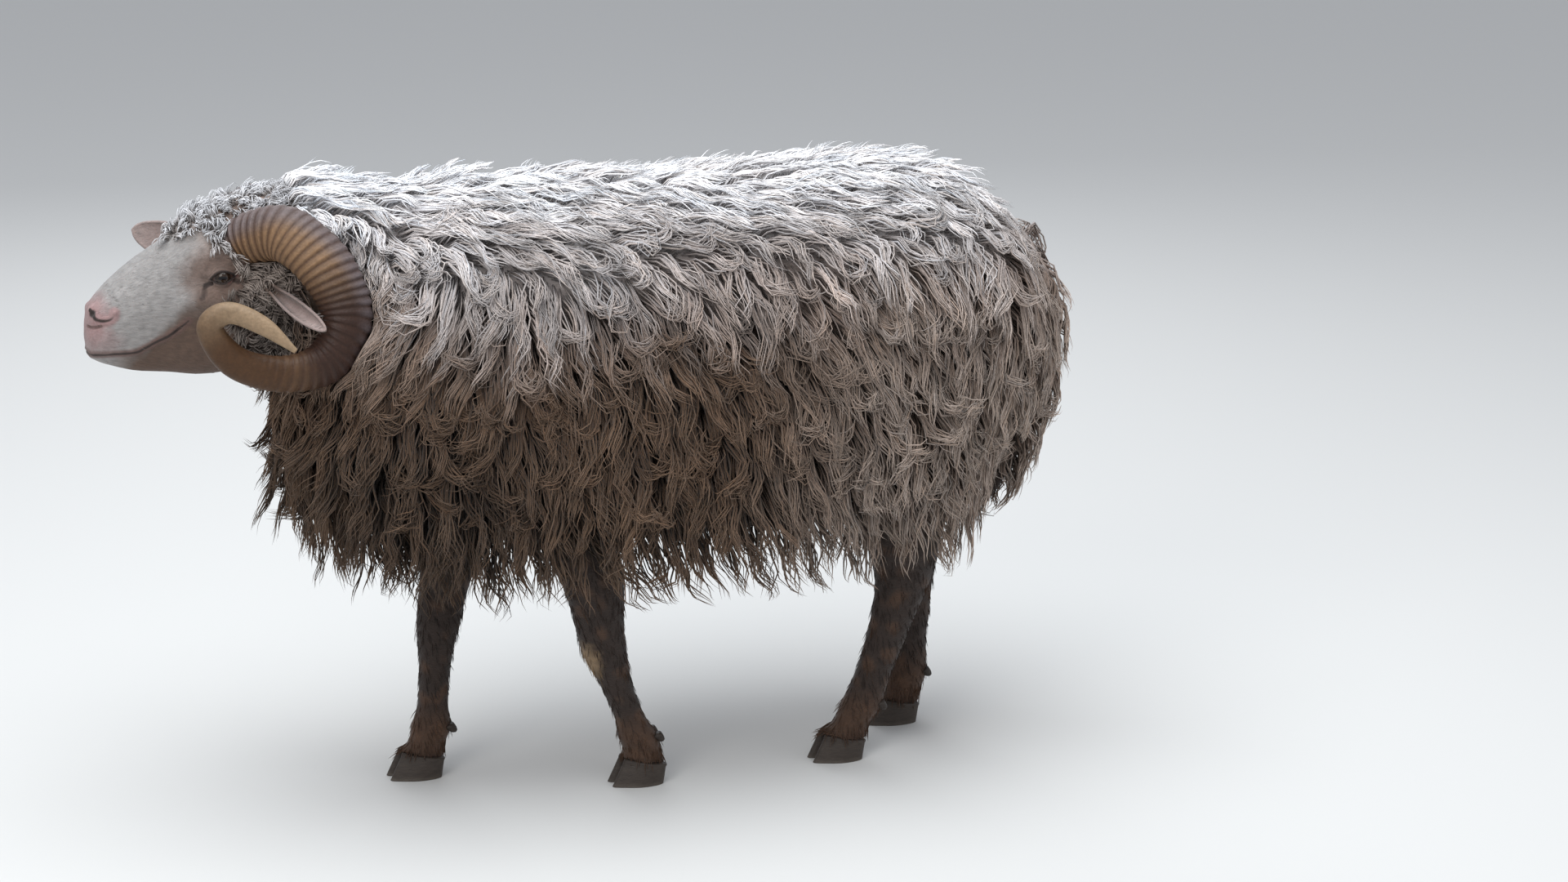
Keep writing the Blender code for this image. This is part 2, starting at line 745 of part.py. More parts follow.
def lid_path(edge):
    """A lid's edge over the left eye from the front corner to the back one."""
    path = []
    for k in range(LID_PIECES + 1):
        turn = LID_SPAN * (2 * k / LID_PIECES - 1)
        rise = edge * math.cos(turn / LID_SPAN * math.pi / 2)
        x = math.sin(turn) * math.cos(rise)
        z = math.sin(rise)
        out = Vector((x * math.cos(LID_SLANT) - z * math.sin(LID_SLANT), -math.cos(turn) * math.cos(rise),
                      x * math.sin(LID_SLANT) + z * math.cos(LID_SLANT)))
        path.append(EYE + out * (EYE_RADIUS + LID_THICKNESS * 0.3))
    return path


def both_sides(mesh):
    return [mesh, mirrored(mesh)]


def add_face(head, group):
    """Lids and curls joined to the head, then the line of the mouth and the nostrils cut into it.

    It gives back the room that the curls need in the wool behind them."""
    surface = tree_of(head.data)
    pieces = []
    curls = []
    for edge in LID_OPENING:
        pieces += both_sides(sweep("lid", lid_path(edge), LID_THICKNESS, 5))
    chance = random.Random(LOCK_SEED)
    faces = [tuple(f.vertices) for f in head.data.polygons]
    points = [v.co.copy() for v in head.data.vertices]

    def wanted(place, normal):
        behind = place.x < HEAD_BACK_X - CURL_RADIUS
        on_top = place.x > POLL_X and place.z > POLL_Z + (place.x - POLL_X) * POLL_SLOPE
        by_ear = place.x > TEMPLE_X and place.z > TEMPLE_Z
        return behind and (on_top or by_ear) and abs(normal.x) < 0.9 and place.y < MIDDLE_HALF

    for root, normal in scatter(points, faces, CURL_SPACING, chance, wanted):
        size = CURL_RADIUS * chance.uniform(0.85, 1.15)
        curl = ball("curl", root + normal * (size * CURL_RISE), size, 4, 5, group)
        mesh = curl.data
        bpy.data.objects.remove(curl, do_unlink=True)
        curls += both_sides(mesh) if root.y < -MIDDLE_HALF else [mesh]
    rooms = [room_for(mesh) for mesh in curls]
    pieces += curls
    combine(head, [put("piece", mesh, group) for mesh in pieces], "UNION")

    mouth = [Vector(p) for p in blend(MOUTH, 2)]
    mouth = [surface.find_nearest(p)[0] for p in mouth]
    mouth += [Vector((p.x, -p.y, p.z)) for p in mouth[-2::-1]]
    cuts = [sweep("mouth", mouth, MOUTH_DEPTH, 4)]
    nostril = [surface.find_nearest(Vector(p))[0] for p in blend(NOSTRIL, 2)]
    cuts += both_sides(sweep("nostril", nostril, NOSTRIL_DEPTH, 6, 0.7))
    for mesh in cuts:
        combine(head, [put("cut", mesh, group)], "DIFFERENCE")
    return rooms


def make_head(group, finish):
    head = put("head", loft("head", head_rings()), group, finish)
    rooms = [room_for(head.data)] + add_face(head, group)
    horn = room_for(horn_mesh())
    sockets = [put("socket", horn, group), put("socket", mirrored(horn), group)]
    sockets += [put("socket", ear_room(name), group) for name in EARS]
    for side in (1, -1):
        middle = Vector((EYE.x, EYE.y * side, EYE.z))
        sockets.append(ball("socket", middle, EYE_RADIUS + GAP * 1.3, 6, 10, group))
    combine(head, sockets, "DIFFERENCE", "MANIFOLD")
    return rooms


# Legs and hooves

def leg_mesh(name):
    joints = blend(LEGS[name], STEPS)
    girths = FORE_GIRTHS if name.startswith("fore") else HIND_GIRTHS
    rings = []
    for i, centre in enumerate(joints):
        place = i / STEPS
        half_across, half_along = at(girths, place)
        rings.append(ring(centre, Vector((0, 1, 0)), Vector((-1, 0, 0)), half_across, half_along,
                          LEG_POINTS))
    return loft(name, rings)


def make_legs(group, finish):
    return {name: put(name, leg_mesh(name), group, finish) for name in LEGS}


def make_hooves(group, finish):
    """Two claws under each leg, flat on the floor."""
    for leg, joints in LEGS.items():
        foot = Vector(joints[-1])
        for word, side in (("outer", -1), ("inner", 1)):
            side = side if foot.y < 0 else -side
            y = foot.y + side * (CLAW_HALF_WIDTH + CLAW_PARTING / 2)
            rings = []
            for share in (0.0, 0.5, 1.0):
                z = CLAW_TOP * (1 - share)
                half = CLAW_HALF_TOP + (CLAW_HALF_SOLE - CLAW_HALF_TOP) * share
                x = foot.x - TOE_LEAD * share
                rings.append(ring(Vector((x, y, z)), Vector((0, 1, 0)), Vector((-1, 0, 0)),
                                  CLAW_HALF_WIDTH, half, CLAW_POINTS, 2.4))
            name = leg.replace("leg", "") + "_claw_" + word
            put(name, loft(name, rings), group, finish)


# The tail

def tail_mesh(fuller=1.0):
    rings = []
    stations = blend(TAIL, STEPS)
    path = [Vector((x, 0, z)) for x, z, half in stations]
    for (x, z, half), (ahead, side, other) in zip(stations, frames(path)):
        across = Vector((0, 1, 0))
        rings.append(ring(Vector((x, 0, z)), across, ahead.cross(across), half * fuller, half * fuller, 8))
    return loft("tail", rings)


def make_tail(group, finish):
    """The tail with a sleeve of short locks that hang round it."""
    tail = put("tail", tail_mesh(), group, finish)
    chance = random.Random(LOCK_SEED + 1)
    path = [Vector((x, 0, z)) for x, z, half in blend(TAIL, 4)]
    locks = []
    for i in range(1, len(path) - 4):
        ahead = (path[i + 1] - path[i - 1]).normalized()
        behind = ahead.cross(Vector((0, 1, 0))).normalized()
        if behind.x < 0:
            behind = -behind
        for turn in (-1.0, 0.0, 1.0):
            if (i + 2 * int(turn)) % 4:
                continue
            angle = turn * TAIL_FAN + chance.uniform(-0.2, 0.2)
            out = (behind * math.cos(angle) + Vector((0, 1, 0)) * math.sin(angle)).normalized()
            stations = []
            for k in range(LOCK_PIECES + 1):
                share = k / LOCK_PIECES
                step = min(len(path) - 1.001, i + share * TAIL_LOCK_LENGTH / TAIL_LOCK_EVERY)
                base = path[int(step)].lerp(path[int(step) + 1], step - int(step))
                reach = 0.004 + (TAIL_REACH - TAIL_LOCK_WIDTH / 2) * share ** 0.6
                stations.append((base + out * reach, ahead.cross(out).normalized(), out))
            locks.append(put("lock", lock_mesh(stations, TAIL_LOCK_WIDTH, TAIL_LOCK_THICKNESS), group))
    combine(tail, locks, "UNION", "MANIFOLD")


def stand_on_origin(group):
    """Moves every node so that the origin is on the floor under the middle of the box."""
    points = [v.co for item in group.objects for v in item.data.vertices]
    low = Vector([min(p[i] for p in points) for i in range(3)])
    high = Vector([max(p[i] for p in points) for i in range(3)])
    shift = Vector((-(low.x + high.x) / 2, -(low.y + high.y) / 2, -low.z))
    for item in group.objects:
        for v in item.data.vertices:
            v.co += shift
        item.data.update()


def main():
    clear_scene()
    group = collection("navajo_churro_ram")
    wool = material("wool", 0.9)
    coat = make_coat(group, wool, material("neck_wool", 0.9))
    rooms = make_head(group, material("face", 0.8))
    make_horns(group, material("horn", 0.45))
    make_ears(group, material("ear", 0.75))
    make_eyes(group, material("eye", 0.1))
    make_legs(group, material("leg", 0.8))
    make_hooves(group, material("hoof", 0.5))
    make_tail(group, wool)
    add_locks(coat, group)

    horn = room_for(horn_mesh())
    rooms += [horn, mirrored(horn)] + [ear_room(name) for name in EARS]
    combine(coat["neck"], [put("room", room, group) for room in rooms], "DIFFERENCE", "MANIFOLD")
    for home, limb in (("torso_front", "fore"), ("torso_rear", "hind")):
        rooms = [room_for(leg_mesh(name)) for name in LEGS if name.startswith(limb)]
        if limb == "hind":
            rooms.append(tail_mesh(TAIL_ROOM / TAIL[1][2]))
        combine(coat[home], [put("room", room, group) for room in rooms], "DIFFERENCE", "MANIFOLD")
    stand_on_origin(group)


main()
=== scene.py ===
import json
import math

import bmesh
import bpy
import numpy as np
from mathutils import Matrix, Vector
from mathutils.bvhtree import BVHTree
from mathutils.kdtree import KDTree

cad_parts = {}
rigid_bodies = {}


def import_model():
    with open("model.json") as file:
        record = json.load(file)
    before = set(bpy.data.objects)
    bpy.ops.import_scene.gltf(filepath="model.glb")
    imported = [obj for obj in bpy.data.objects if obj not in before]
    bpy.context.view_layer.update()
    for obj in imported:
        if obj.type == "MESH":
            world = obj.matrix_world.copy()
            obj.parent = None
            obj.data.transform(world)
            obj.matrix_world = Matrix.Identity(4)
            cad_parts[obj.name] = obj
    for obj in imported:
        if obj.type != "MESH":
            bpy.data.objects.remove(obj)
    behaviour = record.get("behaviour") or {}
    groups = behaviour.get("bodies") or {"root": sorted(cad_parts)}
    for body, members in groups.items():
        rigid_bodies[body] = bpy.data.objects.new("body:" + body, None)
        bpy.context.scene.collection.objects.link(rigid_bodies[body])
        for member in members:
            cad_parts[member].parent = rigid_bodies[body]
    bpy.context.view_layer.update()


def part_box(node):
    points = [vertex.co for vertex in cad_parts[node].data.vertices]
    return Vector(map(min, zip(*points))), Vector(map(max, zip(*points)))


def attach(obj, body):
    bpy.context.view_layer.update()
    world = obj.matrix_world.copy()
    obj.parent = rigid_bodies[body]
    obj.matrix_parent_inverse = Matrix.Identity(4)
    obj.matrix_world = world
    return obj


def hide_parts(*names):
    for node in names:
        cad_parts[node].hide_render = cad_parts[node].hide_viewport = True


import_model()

# Lengths are in metres. The ram faces -X, its left side is -Y, and the shapes are worked out with the
# middle of the body at x = 0, then moved by this shift into the frame of the model.
eyeMiddle = np.array((-0.559, -0.0455, 0.673))
eyeLow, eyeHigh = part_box("eye_left")
shift = np.array((eyeLow + eyeHigh) / 2) - eyeMiddle
print("frame loaded")


# Small tools

def smooth(low, high, value):
    t = np.clip((value - low) / (high - low), 0.0, 1.0)
    return t * t * (3 - 2 * t)


def mix(a, b, share):
    return a + (b - a) * share


def unit(v):
    return v / np.maximum(np.linalg.norm(v, axis=-1, keepdims=True), 1e-9)


def circle(around):
    return np.linspace(0, 2 * math.pi, around, endpoint=False)


def spline(rows, steps):
    # rows of numbers blended smoothly, with this many steps between two of them
    p = np.array(rows, float)
    p = np.vstack([2 * p[0] - p[1], p, 2 * p[-1] - p[-2]])
    out = []
    for a, b, c, d in zip(p, p[1:], p[2:], p[3:]):
        for k in range(steps):
            t = k / steps
            out.append(0.5 * (2 * b + (c - a) * t + (2 * a - 5 * b + 4 * c - d) * t ** 2
                              + (3 * b - a - 3 * c + d) * t ** 3))
    out.append(p[-2])
    return np.array(out)


def waves(points, size, seed):
    # soft noise from -1 to 1, about this size in metres, from a few crossed sines
    pick = np.random.RandomState(seed)
    total = np.zeros(points.shape[:-1])
    for k in range(7):
        way = pick.normal(size=3)
        way *= 2 * math.pi / (size * pick.uniform(0.7, 1.6)) / np.linalg.norm(way)
        total += np.sin(points @ way + pick.uniform(0, 6.28))
    return total / 4.0


def bezel(angle, power):
    # a rounded outline of unit half size, at these angles
    c = np.cos(angle)
    s = np.sin(angle)
    return np.sign(c) * np.abs(c) ** (2 / power), np.sign(s) * np.abs(s) ** (2 / power)


def ring(x, y, z):
    return np.stack(np.broadcast_arrays(x, y, z), 1)


def gridCells(count, around):
    cells = []
    for i in range(0, (count - 1) * around, around):
        for k in range(around):
            m = (k + 1) % around
            cells.append((i + k, i + m, i + around + m, i + around + k))
    return cells


def loftData(rings):
    # closed skin over rings of equal length, with a fan at each end
    count, around = rings.shape[:2]
    points = [tuple(p) for p in rings.reshape(-1, 3)]
    points += [tuple(rings[0].mean(0)), tuple(rings[-1].mean(0))]
    faces = gridCells(count, around)
    last = (count - 1) * around
    for k in range(around):
        m = (k + 1) % around
        faces += [(count * around, m, k), (count * around + 1, last + k, last + m)]
    return points, faces


def loftAll(lofts):
    points = []
    faces = []
    for rings in lofts:
        more, cells = loftData(rings)
        faces += [tuple(len(points) + i for i in cell) for cell in cells]
        points += more
    return points, faces


def link(name, data):
    made = bpy.data.objects.new(name, data)
    bpy.context.scene.collection.objects.link(made)
    return made


def newObject(name, points, faces):
    mesh = bpy.data.meshes.new(name)
    mesh.from_pydata([tuple(p) for p in points], [], faces)
    shape = bmesh.new()
    shape.from_mesh(mesh)
    bmesh.ops.recalc_face_normals(shape, faces=shape.faces)
    shape.to_mesh(mesh)
    shape.free()
    return link(name, mesh)


def meshOf(item):
    # the mesh of an object with its modifiers applied
    bpy.context.view_layer.update()
    made = bpy.data.meshes.new_from_object(item.evaluated_get(bpy.context.evaluated_depsgraph_get()))
    item.modifiers.clear()
    item.data = made
    return made


def join(item, others):
    group = bpy.data.collections.new("joining")
    bpy.context.scene.collection.children.link(group)
    for other in others:
        bpy.context.scene.collection.objects.unlink(other)
        group.objects.link(other)
    step = item.modifiers.new("join", "BOOLEAN")
    step.operation = "UNION"
    step.operand_type = "COLLECTION"
    step.collection = group
    step.solver = "MANIFOLD"
    meshOf(item)
    for other in list(group.objects):
        bpy.data.objects.remove(other)
    bpy.data.collections.remove(group)


def vectors(source, key, count):
    flat = np.empty(count * 3, np.float32)
    source.foreach_get(key, flat)
    return flat.reshape(-1, 3).astype(float)


def pointsOf(mesh):
    return vectors(mesh.vertices, "co", len(mesh.vertices))


def setPoints(mesh, points):
    mesh.vertices.foreach_set("co", points.astype(np.float32).ravel())
    mesh.update()


def paint(mesh, colours):
    data = np.ones((len(mesh.vertices), 4), np.float32)
    data[:, :3] = np.clip(colours, 0, 1)
    layer = mesh.color_attributes.new("tint", "FLOAT_COLOR", "POINT")
    layer.data.foreach_set("color", data.ravel())
    mesh.color_attributes.active_color = layer


def finishPiece(item, finish, nodes=()):
    # put a piece in its place, give it its material and tell the frame about it
    setPoints(item.data, pointsOf(item.data) + shift)
    item.data.polygons.foreach_set("use_smooth", [True] * len(item.data.polygons))
    item.data.update()
    item.data.materials.clear()
    item.data.materials.append(finish)
    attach(item, "root")
    if nodes:
        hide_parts(*nodes)


# Materials

def material(name, roughness, gloss, coat=0.0, sheen=0.0, softness=0.0, grains=(), tone=()):
    # The colour is the tint of the mesh, broken up by noise. grains are bumps: size, stretch along
    # x y z and depth. tone is light and dark: size, stretch and amount.
    made = bpy.data.materials.new(name)
    made.use_nodes = True
    tree = made.node_tree
    shader = tree.nodes["Principled BSDF"]
    values = {"Specular IOR Level": gloss, "Coat Weight": coat, "Coat Roughness": 0.06,
              "Sheen Weight": sheen, "Sheen Roughness": 0.5, "Subsurface Weight": softness,
              "Subsurface Scale": 1.0, "Subsurface Radius": (0.006, 0.003, 0.002)}
    for key, value in values.items():
        shader.inputs[key].default_value = value

    def node(kind, values, **links):
        fresh = tree.nodes.new("ShaderNode" + kind)
        for key, value in values.items():
            fresh.inputs[key].default_value = value
        for key, source in links.items():
            tree.links.new(source, fresh.inputs[key])
        return fresh

    def noise(size, stretch):
        warp = node("Mapping", {"Scale": [s / size for s in stretch]}, Vector=where.outputs["Object"])
        grain = node("TexNoise", {"Scale": 1.0, "Detail": 3.0}, Vector=warp.outputs["Vector"])
        return grain.outputs["Fac"]

    tint = tree.nodes.new("ShaderNodeVertexColor")
    tint.layer_name = "tint"
    where = tree.nodes.new("ShaderNodeTexCoord")
    colour = tint.outputs["Color"]
    for size, stretch, amount in tone:
        span = node("MapRange", {"From Min": 0.3, "From Max": 0.7, "To Min": 1.0 - amount,
                                 "To Max": 1.0 + amount}, Value=noise(size, stretch))
        times = tree.nodes.new("ShaderNodeVectorMath")
        times.operation = "SCALE"
        tree.links.new(colour, times.inputs[0])
        tree.links.new(span.outputs["Result"], times.inputs["Scale"])
        colour = times.outputs["Vector"]
    tree.links.new(colour, shader.inputs["Base Color"])
    rough = node("MapRange", {"To Min": max(0.02, roughness - 0.1), "To Max": min(1.0, roughness + 0.1)},
                 Value=noise(0.006, (1, 1, 1)))
    tree.links.new(rough.outputs["Result"], shader.inputs["Roughness"])
    before = None
    for size, stretch, depth in grains:
        bump = node("Bump", {"Strength": 1.0, "Distance": depth}, Height=noise(size, stretch))
        if before:
            tree.links.new(before, bump.inputs["Normal"])
        before = bump.outputs["Normal"]
    if before:
        tree.links.new(before, shader.inputs["Normal"])
    return made


# Colours of the fleece, the same for the skin and for the wool over it
fleece = {
    # the back colours: the pale wool of the back, brightened and tinted blue with painted top light from
    # the sky
    "backTip": (0.88, 0.885, 0.91),
    "backRoot": (0.82, 0.80, 0.81),
    "sideTip": (0.205, 0.130, 0.085),
    "sideRoot": (0.048, 0.028, 0.018),
    "fringeTip": (0.165, 0.106, 0.070),
    "fringeRoot": (0.024, 0.014, 0.009),
    "neckTip": (0.42, 0.315, 0.25),
    "neckRoot": (0.16, 0.11, 0.08),
    # the next two: the heights where the pale back wool, with its painted top light, begins and is full
    "litWhiteFrom": 0.612,  # the height where the white of the back begins
    "litWhiteTo": 0.772,
    "rumpTip": (0.46, 0.375, 0.32),
    "rumpRoot": (0.14, 0.10, 0.078),
    # painted shade on the chest wool under the head and neck: the share of the colour kept there
    "chestShade": 0.62,
    "upperTip": (0.47, 0.38, 0.33),
    "upperRoot": (0.29, 0.225, 0.195),
}


def fleeceColours(places, share):
    # the colour at these places of the fleece, from the root at share 0 to the tip at 1
    neck = smooth(-0.28, -0.40, places[..., 0])  # less white there, with a sharper edge
    # high: the pale top of the body, partly the wool's own pale colour and partly painted top light
    high = smooth(fleece["litWhiteFrom"] + 0.055 * neck, fleece["litWhiteTo"] - 0.020 * neck,
                  places[..., 2] + 0.018 * waves(places, 0.16, 5))
    low = 1 - smooth(0.33, 0.50, places[..., 2] + 0.030 * waves(places, 0.12, 6))
    upper = smooth(0.57, 0.70, places[..., 2] + 0.040 * waves(places, 0.14, 7))
    near = (1 - smooth(-0.43, -0.33, places[..., 0])) * smooth(0.56, 0.66, places[..., 2])
    rear = smooth(-0.02, 0.22, places[..., 0]) * smooth(0.29, 0.42, places[..., 2])
    # chest: where the painted shade under the head and neck falls
    chest = smooth(-0.16, -0.32, places[..., 0]) * smooth(0.60, 0.48, places[..., 2])

    def tone(end):
        side = np.array(fleece["side" + end])
        colour = mix(side, np.array(fleece["fringe" + end]), low[..., None])
        colour = mix(colour, np.array(fleece["rump" + end]), rear[..., None])
        colour = colour * mix(1.0, fleece["chestShade"], chest)[..., None]
        colour = mix(colour, np.array(fleece["upper" + end]), 0.8 * upper[..., None])
        colour = mix(colour, np.array(fleece["neck" + end]), 0.4 * near[..., None])
        return mix(colour, np.array(fleece["back" + end]), high[..., None])

    ramp = smooth(0.15, 1.0, share)[..., None]
    return mix(tone("Root"), tone("Tip"), ramp)


# The skin: one mesh for the trunk, neck, legs, tail, head and ears

body = {
    "coreShare": 0.26,  # the skin under the wool, as a share of the coat's depth
    "voxel": 0.0050,
    "coatTop": 0.046,
    "coatSide": 0.062,
    "coatUnder": 0.090,
    "coatEnd": 0.040,
    "coronetSlant": 0.20,
}
# x, top, bottom and half width
trunkTable = (
    (-0.458, 0.560, 0.490, 0.040), (-0.440, 0.622, 0.440, 0.085), (-0.385, 0.690, 0.390, 0.125),
    (-0.290, 0.730, 0.358, 0.150), (-0.180, 0.731, 0.345, 0.162), (-0.060, 0.726, 0.335, 0.174),
    (0.060, 0.725, 0.332, 0.180), (0.180, 0.729, 0.352, 0.174), (0.290, 0.729, 0.385, 0.158),
    (0.380, 0.692, 0.425, 0.132), (0.440, 0.620, 0.475, 0.085), (0.462, 0.570, 0.520, 0.040))
# x, middle height, half width and half height
neckTable = (
    (-0.240, 0.585, 0.120, 0.130), (-0.340, 0.608, 0.094, 0.124), (-0.430, 0.640, 0.074, 0.106),
    (-0.480, 0.662, 0.064, 0.092), (-0.505, 0.668, 0.046, 0.066))
# the joints of each leg from the body to the hoof
legJoints = {
    "foreleg_left": ((-0.190, -0.076, 0.400), (-0.132, -0.076, 0.285), (-0.109, -0.064, 0.172),
                     (-0.066, -0.057, 0.060), (-0.060, -0.057, 0.034)),
    "foreleg_right": ((-0.235, 0.076, 0.400), (-0.262, 0.076, 0.295), (-0.287, 0.066, 0.190),
                      (-0.301, 0.060, 0.062), (-0.314, 0.060, 0.034)),
    "hindleg_left": ((0.290, -0.078, 0.430), (0.278, -0.080, 0.315), (0.282, -0.068, 0.222),
                     (0.232, -0.057, 0.068), (0.206, -0.057, 0.034)),
    "hindleg_right": ((0.310, 0.078, 0.430), (0.330, 0.080, 0.318), (0.349, 0.068, 0.228),
                      (0.340, 0.057, 0.066), (0.326, 0.057, 0.034)),
}
# joint, half width across and half width along the body
foreGirths = ((0.0, 0.038, 0.056), (1.0, 0.032, 0.041), (1.6, 0.026, 0.031), (2.0, 0.025, 0.028),
              (2.35, 0.0175, 0.020), (2.7, 0.0165, 0.019), (3.0, 0.022, 0.026), (3.4, 0.020, 0.023),
              (4.0, 0.025, 0.029))
hindGirths = ((0.0, 0.042, 0.090), (0.6, 0.040, 0.074), (1.0, 0.035, 0.058), (1.6, 0.028, 0.044),
              (2.0, 0.024, 0.036), (2.3, 0.020, 0.029), (2.7, 0.018, 0.024), (3.0, 0.023, 0.028),
              (3.4, 0.020, 0.024), (4.0, 0.025, 0.030))
# x, height and half width
tailTable = ((0.462, 0.650, 0.014), (0.490, 0.590, 0.018), (0.500, 0.520, 0.018),
             (0.482, 0.430, 0.016), (0.447, 0.350, 0.013), (0.420, 0.300, 0.006))


def trunkRings(around=48, steps=6):
    rows = spline(trunkTable, steps)
    c, s = bezel(circle(around), 2.2)
    share = body["coreShare"]
    rings = []
    for (x, top, bottom, half), lead in zip(rows, np.linspace(-1, 1, len(rows))):
        top += body["coatTop"] * share
        bottom -= body["coatUnder"] * share
        half += body["coatSide"] * share
        x += body["coatEnd"] * share * math.copysign(abs(lead) ** 3, lead)
        rings.append(ring(x, half * c, (top + bottom) / 2 + (top - bottom) / 2 * s))
    return np.array(rings)


def neckRings(around=40, steps=6):
    c, s = bezel(circle(around), 2.0)
    grown = body["coatEnd"] * body["coreShare"]
    return np.array([ring(x, (half + grown) * c, z + (rise + grown) * s)
                     for x, z, half, rise in spline(neckTable, steps)])


def legRings(name, around=28, steps=10):
    table = np.array(foreGirths if name.startswith("fore") else hindGirths)
    angle = circle(around)
    rings = []
    for i, (x, y, z) in enumerate(spline(legJoints[name], steps)):
        place = i / steps
        across, along = (np.interp(place, table[:, 0], table[:, k]) for k in (1, 2))
        slant = body["coronetSlant"] * smooth(3.3, 4.0, place)  # the skin ends lower at the heel
        lead = x + along * np.cos(angle)
        rings.append(ring(lead, y + across * np.sin(angle), z - slant * (lead - x + along)))
    return np.array(rings)


def tailRings(around=16, steps=6):
    rows = spline(tailTable, steps)
    angle = circle(around)
    rings = []
    for i, (x, z, half) in enumerate(rows):
        ahead = rows[min(i + 1, len(rows) - 1), :2] - rows[max(i - 1, 0), :2]
        ahead /= np.linalg.norm(ahead)
        rings.append(ring(x - ahead[1] * half * np.cos(angle), half * np.sin(angle),
                          z + ahead[0] * half * np.cos(angle)))
    return np.array(rings)


def buildBody():
    # trunk, neck, legs and tail fused and smoothed
    made = newObject("skin", *loftAll([trunkRings(), neckRings(), tailRings()]
                                      + [legRings(name) for name in legJoints]))
    step = made.modifiers.new("fuse", "REMESH")
    step.mode = "VOXEL"
    step.voxel_size = body["voxel"]
    meshOf(made)
    step = made.modifiers.new("soften", "SMOOTH")
    step.factor = 0.5
    step.iterations = 4
    meshOf(made)
    return made


# The head

head = {
    "eyeRadius": 0.0150,
    "lidThickness": 0.0019,
    "lidLength": 1.02,  # half the opening between the lids, in radians
    "lidUpper": 0.42,
    "lidLower": 0.40,
    "lidSlant": -0.12,
    "noseWidth": 0.0024,
    "noseDepth": 0.0070,
    "mouthWidth": 0.0017,
    "mouthDepth": 0.0042,
}
# x, top, bottom, half width and how square
headTable = (
    (-0.7135, 0.627, 0.590, 0.009, 2.0), (-0.710, 0.640, 0.581, 0.018, 2.1),
    (-0.704, 0.649, 0.577, 0.024, 2.2), (-0.692, 0.662, 0.571, 0.030, 2.3),
    (-0.675, 0.677, 0.565, 0.033, 2.4), (-0.655, 0.692, 0.560, 0.035, 2.4),
    (-0.620, 0.714, 0.556, 0.040, 2.4), (-0.585, 0.736, 0.551, 0.050, 2.3),
    (-0.550, 0.750, 0.553, 0.058, 2.3), (-0.515, 0.757, 0.562, 0.060, 2.3),
    (-0.478, 0.757, 0.572, 0.064, 2.2), (-0.455, 0.745, 0.590, 0.060, 2.0),
    (-0.440, 0.715, 0.610, 0.040, 2.0))
# lines on the left of the face, laid on the skin
mouthLine = ((-0.713, 0.000, 0.589), (-0.7118, -0.0043, 0.587), (-0.7072, -0.0097, 0.5850),
             (-0.6985, -0.0146, 0.5852), (-0.6841, -0.019, 0.586), (-0.6600, -0.022, 0.5867),
             (-0.6499, -0.0248, 0.5914), (-0.6361, -0.0289, 0.599), (-0.6223, -0.0327, 0.6055),
             (-0.6103, -0.0366, 0.6141), (-0.6002, -0.0406, 0.6229))
nostrilLine = ((-0.7090, -0.0150, 0.6385), (-0.7068, -0.0220, 0.6335), (-0.7037, -0.0251, 0.6292),
               (-0.6969, -0.0292, 0.6276), (-0.6898, -0.0317, 0.6286), (-0.6851, -0.0327, 0.6323),
               (-0.6840, -0.0328, 0.6370))
noseFold = ((-0.7123, -0.0113, 0.6194), (-0.7089, -0.0193, 0.6188), (-0.7040, -0.0239, 0.6194),
            (-0.6988, -0.0272, 0.6216))
tearLine = ((-0.5762, -0.0486, 0.6661), (-0.5810, -0.0481, 0.6625), (-0.5828, -0.0511, 0.6555),
            (-0.5860, -0.0516, 0.6501))
frontCorner = ((-0.5735, -0.0500, 0.6672), (-0.5775, -0.0478, 0.6662), (-0.5812, -0.0465, 0.6650))
rearCorner = ((-0.5500, -0.0575, 0.6715), (-0.5465, -0.0580, 0.6705), (-0.5432, -0.0585, 0.6690))
browLine = ((-0.5718, -0.0456, 0.7132), (-0.5640, -0.0453, 0.7165), (-0.5549, -0.0472, 0.7172),
            (-0.5474, -0.0517, 0.7137), (-0.5437, -0.0556, 0.7075), (-0.5425, -0.0574, 0.6981))
cheekLine = ((-0.6150, -0.044, 0.6480), (-0.5900, -0.050, 0.6420), (-0.5600, -0.057, 0.6380),
             (-0.5300, -0.060, 0.6420))


def headRings(around=112):
    angle = circle(around) + 0.5 * math.pi
    rings = []
    for x, top, bottom, half, power in spline(headTable, 8):
        c, s = bezel(angle, power)
        jaw = smooth(0.1, -0.9, s)
        front = smooth(-0.52, -0.66, x)
        narrow = 1 - jaw * mix(0.10, 0.34, front)
        narrow *= 1 - 0.10 * smooth(0.5, 1.0, s)
        rings.append(ring(x, half * c * narrow, (top + bottom) / 2 + (top - bottom) / 2 * s))
    return np.array(rings)


def besideLine(places, a, b):
    # the share of the way from a to b beside each place, and the distance to it
    ahead = b - a
    t = np.clip((places - a) @ ahead / max(ahead @ ahead, 1e-12), 0, 1)
    return t, np.linalg.norm(places - a - t[:, None] * ahead, axis=1)


def toLine(places, line, steps=6):
    # the distance from each place to a smooth line, and how far along it the nearest point is
    path = spline(line, steps)
    best = np.full(len(places), 9.0)
    where = np.zeros(len(places))
    for i, (a, b) in enumerate(zip(path, path[1:])):
        t, d = besideLine(places, a, b)
        near = d < best
        best = np.where(near, d, best)
        where = np.where(near, (i + t) / (len(path) - 1), where)
    return best, where


def leftOf(places):
    # the places as if all were on the left side
    out = places.copy()
    out[:, 1] = -np.abs(out[:, 1])
    return out


def eyeFrame():
    # the axes of the left eye: out of the head, along the opening and across it
    out = unit(np.array((-0.22, -1.0, 0.08)))
    along = unit(np.array((math.cos(head["lidSlant"]), 0, math.sin(-head["lidSlant"]))))
    along = unit(along - out * (along @ out))
    return out, along, np.cross(out, along) * -1


